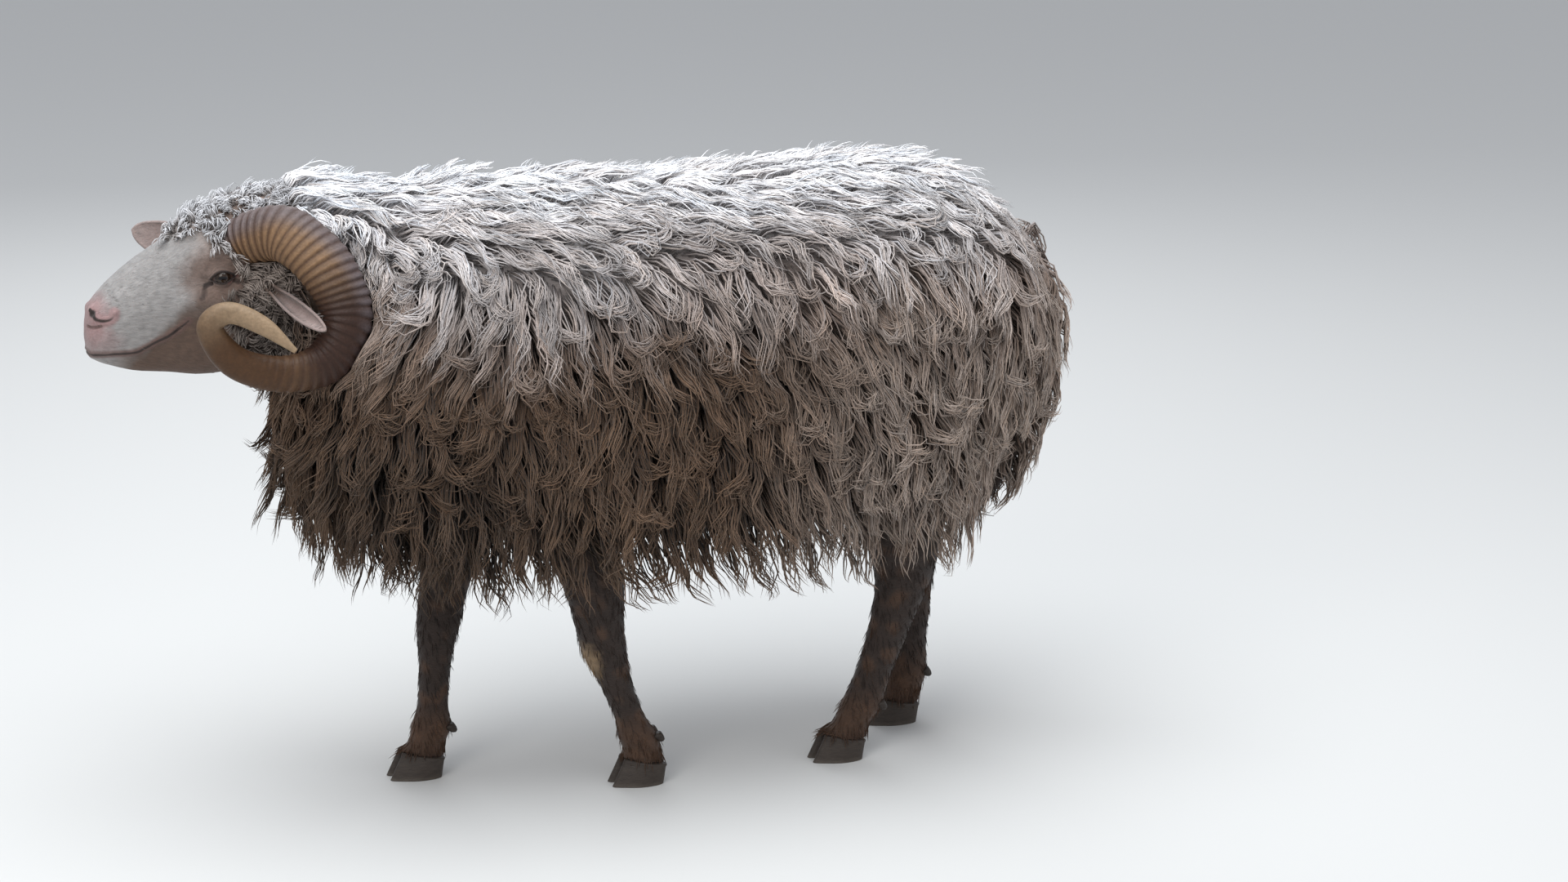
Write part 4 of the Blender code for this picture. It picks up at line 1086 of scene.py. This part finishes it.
def buildFleece():
    woolly = smooth(0.335, 0.360, triangleMiddles[:, 2]) * (triangleMiddles[:, 0] > -0.480)
    inHead = (triangleMiddles[:, 0] < -0.455) & (np.abs(triangleMiddles[:, 1]) > 0.075)
    weights = woolly * ~inHead * np.where(triangleNormals[:, 2] < -0.6, 0.5, 1.0)
    byHorn = hornDistance(triangleMiddles)[0] < 0.050
    weights = weights * np.where(byHorn, 2.2, 1.0)
    shoulder = smooth(-0.42, -0.38, triangleMiddles[:, 0]) * smooth(-0.18, -0.24, triangleMiddles[:, 0])
    weights = weights * (1 + 0.7 * shoulder * smooth(0.50, 0.58, triangleMiddles[:, 2]))
    roots, normals = scatter(weights, 26000, wool["seed"])
    kept = thin(roots, wool["guides"])
    roots, normals = roots[kept], normals[kept]
    up = np.maximum(normals[:, 2], 0)
    lengths = mix(wool["length"], wool["backLength"], smooth(0.3, 0.9, up))
    onNeck = smooth(-0.34, -0.42, roots[:, 0]) * smooth(0.52, 0.60, roots[:, 2])
    lengths = mix(lengths, wool["neckLength"], onNeck)
    onTail = (roots[:, 0] > 0.452) & (np.abs(roots[:, 1]) < 0.024)
    lengths = np.where(onTail, wool["tailLength"], lengths)
    pick = np.random.RandomState(wool["seed"] + 1)
    lengths *= pick.uniform(0.70, 1.20, len(lengths))
    lengths = np.minimum(lengths, (roots[:, 2] - wool["lowest"]) * 1.02 + 0.012)
    paths, outs = guidePaths(roots, normals, lengths)
    print("locks", len(roots))
    phase = pick.uniform(0, 6.28, len(roots))
    waveLength = wool["waveLength"] * pick.uniform(0.75, 1.35, len(roots))
    waveHeight = wool["waveHeight"] * pick.uniform(0.5, 1.4, len(roots))
    paleness = pick.normal(1.0, 0.13, len(roots)) * np.where(onTail, 1.3, 1.0)
    tree = KDTree(len(roots))
    for i, p in enumerate(roots):
        tree.insert(p, i)
    tree.balance()
    count = wool["strands"]
    starts, startNormals = scatter(weights, count, wool["seed"] + 2)
    owner = np.array([tree.find(p)[1] for p in starts])
    scale = pick.uniform(0.78, 1.06, count)
    steps = paths.shape[1] - 1
    own = owner[:, None]
    gather = wool["gather"] * pick.uniform(0.70, 1.15, count)
    stray = pick.random_sample(count) < wool["loose"]
    gather = np.where(stray, 0.15, gather)
    offPhase = (pick.normal(0, 0.55, count) + 2.0 * stray)[:, None]
    height = waveHeight[owner][:, None] * (0.15 + 0.85 * smooth(0.1, 0.8, stations))
    fuzz = pick.normal(0, 0.0014, (count, 1, 3)) * (1 + 2.0 * stray)[:, None, None]
    fuzz = fuzz * (stations * np.sin(stations * 5 + pick.uniform(0, 6, count)[:, None]))[..., None]

    def trace(scale):
        # the strands at these shares of the length of their locks
        t = stations[None] * scale[:, None]
        low = np.clip((t * steps).astype(int), 0, steps - 1)
        part = (t * steps - low)[..., None]
        line = paths[own, low] * (1 - part) + paths[own, low + 1] * part
        outward = unit(outs[own, low] * (1 - part) + outs[own, low + 1] * part)
        line = line + (starts - roots[owner])[:, None] * (1 - gather[:, None] * stations ** 0.9)[..., None]
        side, lift = frameAlong(line, outward)
        turn = t * (lengths / waveLength)[owner][:, None] * 2 * math.pi + phase[owner][:, None] + offPhase
        line = (line + side * (height * np.sin(turn))[..., None]
                + lift * (0.45 * height * np.cos(turn))[..., None])
        line, stays = clearHorns(line + fuzz)
        low = wool["lowest"] + 0.030
        line[..., 2] = np.where(line[..., 2] > low, line[..., 2],
                                low - 0.032 * np.tanh((low - line[..., 2]) / 0.032))
        # strands that jump from one part of the body to another, or turn sharply, aren't clear either
        parts = np.diff(line, axis=1)
        wanted = (lengths[owner] * scale)[:, None] * np.diff(stations)
        even = (np.linalg.norm(parts, axis=-1) < wool["mostStretch"] * wanted + 0.005).all(1)
        even &= ((unit(parts[:, 1:]) * unit(parts[:, :-1])).sum(-1) > wool["sharpest"]).all(1)
        return line, outward, stays & even & ~crossesHorns(line)

    line, outward, clear = trace(scale)
    for shorter in (0.6, 0.5):
        scale = np.where(clear, scale, scale * shorter)
        line, outward, clear = trace(scale)
    side, lift = frameAlong(line, outward)
    taper = np.array((0.8, 1.0, 0.97, 0.84, 0.62, 0.36, 0.0))
    size = pick.uniform(0.65, 1.30, count)[:, None]
    widths = wool["width"] * taper * size
    thickness = wool["thickness"] * taper * size
    shares = np.broadcast_to(stations, line.shape[:2])
    colours = fleeceColours(starts[:, None] + 0 * line, shares)
    tone = paleness[owner] * pick.normal(1.0, 0.10, count)
    warm = pick.normal(0, 0.025, count)[:, None] * np.array((1.0, 0.0, -1.0))
    colours = colours * tone[:, None, None] * (1 + warm[:, None])
    uv = unwrap(starts, startNormals)
    # one piece of wool for each part of the body
    bands = np.digitize(starts[:, 0], (-0.350, -0.200, -0.040, 0.130, 0.300))
    names = ("Neck", "Shoulder", "Ribs", "Middle", "Flank", "Rump")
    made = []
    for band, word in enumerate(names):
        for way, chosen in (("Left", starts[:, 1] <= 0), ("Right", starts[:, 1] > 0)):
            pickOf = np.nonzero((bands == band) & chosen & clear)[0]
            if not len(pickOf):
                continue
            chosenData = (data[pickOf] for data in (line, side, lift, widths, thickness, colours))
            piece = tuftMesh("fleece" + word + way, *chosenData, fitUv(uv[pickOf]), stations)
            made.append(piece)
            print(piece.name, len(piece.data.polygons))
    return made


woolFinish = material("wool", roughness=0.88, gloss=0.14, sheen=0.10,
                      grains=((0.0012, (1, 1, 0.25), 0.0008),),
                      tone=((0.0022, (1, 1, 0.2), 0.11), (0.0009, (1, 1, 1), 0.13)))
for piece in buildFleece():
    finishPiece(piece, woolFinish)
print("fleece")


# Curls on the poll, the forehead and round the ears

curls = {
    "clumps": 690,
    "each": 12,
    "spacing": 0.0050,
    "spread": 0.0060,
    "length": 0.023,
    "turn": 4.0,  # how far a curl winds, in radians
    "rise": 0.0070,
    "width": 0.0012,
    "tip": (0.66, 0.66, 0.68),
    "root": (0.22, 0.185, 0.165),
    "lowTip": (0.40, 0.335, 0.295),
    "lowRoot": (0.11, 0.078, 0.060),
    "jawDark": 0.55,
    "seed": 77,
}


def buildCurls():
    # small clumps of hair that leave the skin and wind back on themselves
    roots, normals = scatter(curlWeights(triangleMiddles), 14000, curls["seed"])
    kept = thin(roots, curls["spacing"])
    pick = np.random.RandomState(curls["seed"])
    kept = pick.permutation(kept)[:curls["clumps"]]
    print("clumps", len(kept))
    own = np.repeat(np.arange(len(kept)), curls["each"])
    count = len(own)
    roots, normals = roots[kept], normals[kept]
    lie = np.array((0.35, 0.0, -0.25)) + pick.normal(0, 0.6, roots.shape)
    lie = unit(lie - normals * (lie * normals).sum(1, keepdims=True))
    side = np.cross(normals, lie)
    t = np.linspace(0, 1, 6)
    length = (curls["length"] * pick.uniform(0.65, 1.2, len(kept)))[own] * pick.uniform(0.75, 1.15, count)
    turn = (curls["turn"] * pick.uniform(0.6, 1.25, len(kept)))[own] * pick.uniform(0.75, 1.2, count)
    radius = (length / turn)[:, None]
    wind = turn[:, None] * t
    spin = pick.uniform(-0.35, 0.35, len(kept))[own] + pick.normal(0, 0.16, count)
    angle = pick.uniform(0, 2 * math.pi, count)
    spread = curls["spread"] * np.sqrt(pick.random_sample(count))
    close = 1 - 0.45 * t[None]
    ahead = radius * (1 - np.cos(wind)) + (spread * np.cos(angle))[:, None] * close
    across = length[:, None] * spin[:, None] * t + (spread * np.sin(angle))[:, None] * close
    up = radius * np.sin(wind) + curls["rise"] * smooth(0.0, 0.9, t) - 0.0015
    line = (roots[own][:, None] + lie[own][:, None] * ahead[..., None]
            + side[own][:, None] * across[..., None] + normals[own][:, None] * up[..., None])
    line, stays = clearHorns(line, 0.0015, 0.006)
    clear = stays & ~crossesHorns(line)
    outs = unit(normals[own][:, None] + 0.8 * (line - roots[own][:, None]) / 0.010)
    sides, lifts = frameAlong(line, outs)
    taper = np.array((0.8, 1.0, 1.0, 0.9, 0.65, 0.0))
    widths = curls["width"] * taper * pick.uniform(0.7, 1.35, count)[:, None]
    share = np.broadcast_to(t, line.shape[:2])[..., None]
    low = smooth(0.728, 0.690, roots[:, 2])[own, None, None]
    tip = mix(np.array(curls["tip"]), np.array(curls["lowTip"]), low)
    root = mix(np.array(curls["root"]), np.array(curls["lowRoot"]), low)
    paleness = pick.normal(1, 0.12, len(kept))[own] * pick.normal(1, 0.08, count)
    paleness = paleness * mix(1.0, curls["jawDark"], smooth(0.675, 0.635, roots[:, 2]))[own]
    colours = mix(root, tip, smooth(0.05, 0.65, share)) * paleness[:, None, None]
    starts = line[:, 0]
    uv = fitUv(np.stack([starts[:, 0], np.arctan2(starts[:, 1], starts[:, 2] - 0.655)], 1))
    chosen = (data[clear] for data in (line, sides, lifts, widths, widths * 0.75, colours, uv))
    return tuftMesh("pollCurls", *chosen, t)


piece = buildCurls()
print(piece.name, len(piece.data.polygons))
finishPiece(piece, woolFinish)


# Short hair that breaks the outline of the face, the ears and the legs

hairs = {
    "face": {"count": 4400, "length": 0.0085, "width": 0.0006, "rise": 0.05,
             "lie": (1.0, 0.0, -0.30), "seed": 91},
    "legs": {"count": 6600, "length": 0.0165, "width": 0.0011, "rise": 0.13,
             "lie": (0.22, 0.0, -1.0), "seed": 92},
}


def buildHair(name, weights, how):
    pick = np.random.RandomState(how["seed"])
    count = how["count"]
    roots, normals = scatter(weights, count, how["seed"])
    t = np.array((0.0, 0.4, 0.75, 1.0))
    lie = np.array(how["lie"]) + pick.normal(0, 0.16, (count, 3))
    lie[:, 0] *= 1 - 0.9 * smooth(0.056, 0.046, roots[:, 2])
    lie = unit(lie - normals * (lie * normals).sum(1, keepdims=True))
    length = how["length"] * pick.uniform(0.6, 1.3, count)
    rise = how["rise"] * pick.uniform(0.5, 1.6, count) + 0.06 * smooth(0.052, 0.044, roots[:, 2])
    line = (roots[:, None] + lie[:, None] * (length[:, None] * t)[..., None]
            + normals[:, None] * ((length * rise)[:, None] * t ** 0.7 - 0.0006)[..., None])
    outs = np.broadcast_to(normals[:, None], line.shape)
    sides, lifts = frameAlong(line, outs)
    widths = how["width"] * np.array((0.8, 1.0, 0.7, 0.0)) * pick.uniform(0.7, 1.3, count)[:, None]
    base = hairColours(roots) * pick.normal(1.0, 0.13, count)[:, None]
    colours = base[:, None] * np.array((0.98, 1.02, 1.08, 1.15))[None, :, None]
    uv = np.stack([roots[:, 0], np.arctan2(roots[:, 1], roots[:, 2] - 0.655)], 1)
    if name == "legHair":
        uv = np.stack([np.arctan2(roots[:, 1] - np.sign(roots[:, 1]) * 0.06, roots[:, 0])
                       + 7 * np.digitize(roots[:, 0], (-0.19, 0.1, 0.295)), roots[:, 2]], 1)
    return tuftMesh(name, line, sides, lifts, widths, widths * 0.6, colours, fitUv(uv), t)


def faceWeights(places):
    left = leftOf(places)
    bare = smooth(-0.702, -0.690, left[:, 0])
    nearEye = smooth(0.019, 0.027, np.linalg.norm(left - eyeMiddle, axis=1))
    mouthAway = smooth(0.003, 0.008, toLine(left, mouthLine)[0])
    mouthAway = mouthAway * smooth(0.004, 0.010, toLine(left, nostrilLine)[0])
    return bare * nearEye * mouthAway * (left[:, 0] < -0.47)


woolLow = smooth(0.375, 0.340, triangleMiddles[:, 2]) * (triangleMiddles[:, 2] > 0.036)
woolLow = woolLow * (1 + 4.0 * smooth(0.054, 0.046, triangleMiddles[:, 2]))
for name, weights, how in (("faceHair", faceWeights(triangleMiddles), hairs["face"]),
                           ("legHair", woolLow * (triangleMiddles[:, 0] > -0.46), hairs["legs"])):
    piece = buildHair(name, weights, how)
    print(piece.name, len(piece.data.polygons))
    finishPiece(piece, woolFinish)
print("hair")


# Horns

horn = {
    "steps": 44,
    "around": 40,
    "flatness": 0.86,
    "ribs": 36,
    "ribHeight": 0.0034,
    "ribbedShare": 0.66,
    "amber": (0.215, 0.125, 0.065),
    # painted shade in the grooves between the ribs
    "grooveShade": (0.045, 0.020, 0.012),
    "grey": (0.130, 0.108, 0.115),  # the outer edge near the root
    "red": (0.017, 0.0045, 0.0028),  # the bend at the back
    "tan": (0.064, 0.029, 0.011),
    "pale": (0.26, 0.18, 0.11),  # the tip
}


def placePair(kind, rings, tones, finish):
    ends = np.stack([tones[0].mean(0), tones[-1].mean(0)])
    for side, way in (("left", 1), ("right", -1)):
        piece = newObject(kind + side.capitalize(), *loftData(rings * np.array((1, way, 1))))
        paint(piece.data, np.vstack([tones.reshape(-1, 3), ends]))
        finishPiece(piece, finish, (kind + "_" + side,))
    print(kind, "pair")


def hornData():
    # the left horn: points and colours
    path = spline(hornTable, horn["steps"])
    count = len(path)
    steps = np.linalg.norm(np.diff(path[:, :3], axis=0), axis=1)
    run = np.concatenate([[0], np.cumsum(steps)])
    place = run / run[-1]
    angle = circle(horn["around"])
    c, s = bezel(angle, 2.25)
    ahead = unit(np.gradient(path[:, :3], axis=0))
    outward = np.zeros((count, 3))
    outward[:, 1] = -1
    outward = unit(outward - ahead * (ahead[:, 1:2] * -1))
    inward = np.cross(ahead, outward)
    # inward looks to the middle of the curl
    slant = 0.35 * np.cos(angle)[None]
    drift = 0.25 * np.sin(place * 40)[:, None]
    turns = place[:, None] ** 0.92 / horn["ribbedShare"] * horn["ribs"] + slant + drift
    saw = turns - np.floor(turns)
    crest = np.where(saw < 0.74, (saw / 0.74) ** 0.9, ((1 - saw) / 0.26) ** 0.8)
    fine = 0.16 * np.sin(turns * 2 * math.pi * 3.0 + 2.0 * np.sin(place * 31)[:, None])
    crest = np.clip(crest + fine * crest, 0, 1.1)
    deep = 0.72 + 0.28 * np.sin(np.floor(turns) * 12.9898)
    fade = smooth(1.02, 0.72, place / horn["ribbedShare"])[:, None]
    rib = horn["ribHeight"] * (crest - 0.70) * deep * fade
    outer = (1 + np.sin(angle - 0.4)) / 2
    rib = rib * (0.35 + 0.65 * outer)[None]
    keel = 1 + 0.035 * np.cos(3 * (angle - math.pi))[None] * fade
    half = path[:, 3:4] * keel * (1 + 0.012 * np.sin(place * 55)[:, None])
    points = (path[:, None, :3] + inward[:, None] * ((half + rib) * c)[..., None]
              + outward[:, None] * ((half * horn["flatness"] + rib) * s)[..., None])
    amber, grooveShade, grey, red, tan, pale = (
        np.array(horn[k]) for k in ("amber", "grooveShade", "grey", "red", "tan", "pale"))
    tone = np.broadcast_to(amber, points.shape).copy()
    tone = mix(tone, red, (0.95 * smooth(0.22, 0.36, place) * smooth(0.62, 0.49, place))[:, None, None])
    tone = mix(tone, tan, smooth(0.48, 0.60, place)[:, None, None])
    tone = mix(tone, pale, smooth(0.72, 0.88, place)[:, None, None])
    back = smooth(-0.15, -0.85, c)[None] * smooth(0.52, 0.30, place)[:, None]
    tone = mix(tone, grey, 0.85 * back[..., None])
    # darker where the surface dips between the ribs: painted shade in the grooves
    tone = mix(tone, grooveShade, (0.85 * np.clip(1 - crest, 0, 1) ** 1.4 * fade)[..., None])
    streak = 0.10 * waves(points.reshape(-1, 3), 0.008, 14).reshape(points.shape[:2])
    return points, tone * (1 + streak)[..., None]


hornFinish = material("horn", roughness=0.55, gloss=0.28, coat=0.02, softness=0.03,
                      grains=((0.0030, (1, 1, 1), 0.0006), (0.0009, (1, 1, 1), 0.0002)),
                      tone=((0.0035, (1, 1, 1), 0.13),))
placePair("horn", *hornData(), hornFinish)


# Eyes

eyes = {
    "iris": (0.026, 0.014, 0.007),
    "irisEdge": (0.010, 0.005, 0.003),
    "white": (0.055, 0.032, 0.026),
    "pupil": (0.003, 0.003, 0.004),
    "irisRadius": 0.0092,
    "pupilLong": 0.0050,
    "pupilHigh": 0.0019,
    "cornea": 0.0009,
}


def eyeData(around=48, stacks=44):
    out, along, up = eyeFrame()
    level = unit(np.array((1.0, 0, 0)) - out * out[0])
    rise = np.cross(level, out)
    rise = rise if rise[2] > 0 else -rise
    iris, edge, white, dark = (np.array(eyes[k]) for k in ("iris", "irisEdge", "white", "pupil"))
    rings = []
    tones = []
    angle = circle(around)
    for polar in np.linspace(0.02, math.pi - 0.02, stacks):
        radius = head["eyeRadius"] + eyes["cornea"] * smooth(0.66, 0.25, polar)
        flat = radius * math.sin(polar)
        share = flat / eyes["irisRadius"]
        h = flat * np.cos(angle)
        v = flat * np.sin(angle)
        rings.append(eyeMiddle + out * (radius * math.cos(polar)) + h[:, None] * level + v[:, None] * rise)
        streaks = 1 + 0.25 * np.sin(angle * 23) * np.sin(angle * 9 + 2)
        tone = mix(iris, edge, smooth(0.45, 1.0, share)) * streaks[:, None]
        tone = mix(tone, white, smooth(0.94, 1.06, share) if polar < 1.57 else 1.0)
        pupil = (np.abs(h / eyes["pupilLong"]) ** 3 + np.abs(v / eyes["pupilHigh"]) ** 3) ** (1 / 3)
        inFront = smooth(1.12, 0.92, pupil) * (polar < 1.2)
        tones.append(mix(tone, dark, inFront[:, None]))
    return np.array(rings), np.array(tones)


eyeFinish = material("eye", roughness=0.14, gloss=0.30, coat=0.25, grains=((0.004, (1, 1, 1), 0.00003),),
                     tone=((0.0012, (1, 1, 1), 0.12),))
placePair("eye", *eyeData(), eyeFinish)


# Hooves: two claws and two dewclaws on each foot

hoof = {
    "top": 0.0345,
    "halfWidth": 0.0125,
    "parting": 0.0020,
    "halfTop": 0.026,
    "halfSole": 0.0325,
    "toeLead": 0.0105,
    "slant": 0.19,  # the top falls to the heel
    "colour": (0.042, 0.031, 0.024),
    "band": (0.028, 0.019, 0.014),
    "edge": (0.070, 0.056, 0.044),
}


def clawRings(x, y, away, around=36):
    # flat sole, rounded heel and a toe that leads forward; away is -1 for the claw on the left
    c, s = bezel(circle(around), 2.5)
    toe = smooth(0.2, -1.0, c)
    rings = []
    for share in np.concatenate([np.linspace(0, 0.96, 15), (0.985, 1.0)]):
        half = mix(hoof["halfTop"], hoof["halfSole"], share) - 0.0012 * (share > 0.99)
        half += 0.0012 * math.exp(-((share - 0.04) / 0.05) ** 2)
        width = hoof["halfWidth"] - 0.0006 * (share > 0.99) + 0.0003 * math.sin(share * 40)
        fall = hoof["slant"] * hoof["halfTop"] * (1 + c) * (1 - share)
        rings.append(ring(x - hoof["toeLead"] * share + half * c,
                          y + width * s * (1 - 0.42 * toe) - away * 0.003 * toe,
                          np.maximum(hoof["top"] * (1 - share) - fall, 0.0)))
    return np.array(rings)


def dewRings(x, y, z):
    angle = circle(16)
    rings = []
    for t in np.linspace(0, 1, 7):
        half = 0.0062 * math.sqrt(max(0.0, 1 - t ** 2)) + 0.0004
        rings.append(ring(x + 0.009 * t + half * 0.9 * np.cos(angle), y + half * np.sin(angle),
                          z - 0.011 * t + half * 0.4 * np.cos(angle)))
    return np.array(rings)


hoofFinish = material("hoof", roughness=0.55, gloss=0.4,
                      grains=((0.0022, (0.5, 0.5, 2.4), 0.0006), (0.0010, (1, 1, 1), 0.0002)),
                      tone=((0.004, (0.4, 0.4, 2.0), 0.18), (0.0012, (1, 1, 1), 0.08)))
for leg, joints in legJoints.items():
    pastern, foot = np.array(joints[-2:])
    lofts = []
    for away in (-1, 1):
        lofts.append(clawRings(foot[0], foot[1] + away * (hoof["halfWidth"] + hoof["parting"] / 2), away))
        lofts.append(dewRings(pastern[0] + 0.020, pastern[1] + away * 0.0125, pastern[2] + 0.004))
    points, faces = loftAll(lofts)
    kind, side = leg.replace("leg", "").split("_")
    piece = newObject("hoof" + kind.capitalize() + side.capitalize(), points, faces)
    height = np.array(points)[:, 2:]
    tone = mix(np.array(hoof["colour"]), np.array(hoof["band"]), smooth(0.024, 0.033, height))
    paint(piece.data, mix(tone, np.array(hoof["edge"]), smooth(0.007, 0.001, height)))
    finishPiece(piece, hoofFinish, tuple(f"{kind}_{side}_claw_{w}" for w in ("inner", "outer")))
print("hooves")


# Floor, light and camera

studio = {
    "floor": (0.66, 0.655, 0.64),
    "floorReach": 14.0,
    "sky": (0.89, 0.93, 1.0),
    "skyPower": 0.60,
}
reach = studio["floorReach"]
mesh = bpy.data.meshes.new("floor")
mesh.from_pydata([(-reach, -reach, 0), (reach, -reach, 0), (reach, reach, 0), (-reach, reach, 0)], [],
                 [(0, 1, 2, 3)])
floor = link("floor", mesh)
floorFinish = bpy.data.materials.new("floor")
floorFinish.use_nodes = True
shader = floorFinish.node_tree.nodes["Principled BSDF"]
shader.inputs["Base Color"].default_value = (*studio["floor"], 1)
shader.inputs["Roughness"].default_value = 0.9
mesh.materials.append(floorFinish)

world = bpy.data.worlds.new("studio")
world.use_nodes = True
world.node_tree.nodes["Background"].inputs["Color"].default_value = (*studio["sky"], 1)
world.node_tree.nodes["Background"].inputs["Strength"].default_value = studio["skyPower"]
bpy.context.scene.world = world

# name, place, aimed at, power, size and colour
lamps = (
    ("topLight", (-0.3, -0.5, 3.6), (0, 0, 0.5), 130, 3.2, (0.93, 0.97, 1.0)),
    ("keyLight", (-2.4, -2.6, 2.6), (0, 0, 0.5), 44, 1.8, (1.0, 0.97, 0.93)),
    ("fillLight", (2.6, -3.0, 1.4), (0, 0, 0.4), 10, 2.6, (1.0, 0.97, 0.94)),
    ("backLight", (0.6, 3.2, 2.4), (0, 0, 0.6), 26, 2.0, (0.95, 0.98, 1.0)),
)
for name, place, aim, power, size, colour in lamps:
    light = bpy.data.lights.new(name, "AREA")
    light.energy = power
    light.size = size
    light.color = colour
    lamp = link(name, light)
    lamp.location = place
    lamp.rotation_euler = (Vector(aim) - Vector(place)).to_track_quat("-Z", "Y").to_euler()

view = {
    "place": (-1.28226, -3.93102, 1.44921),
    "forward": (0.33186, 0.91178, -0.24192),
    "right": (0.93969, -0.34202, 0.0),
    "up": (0.08274, 0.22733, 0.97030),
    "lens": 78.75,
}
cameraData = bpy.data.cameras.new("camera")
cameraData.lens = view["lens"]
cameraData.sensor_width = 36.0
cameraData.clip_end = 100
camera = link("camera", cameraData)
axes = Matrix((view["right"], view["up"], tuple(-v for v in view["forward"]))).transposed()
camera.matrix_world = Matrix.Translation(Vector(view["place"]) + Vector(shift)) @ axes.to_4x4()
bpy.context.scene.camera = camera
bpy.context.scene.view_settings.view_transform = "Standard"

print("done")
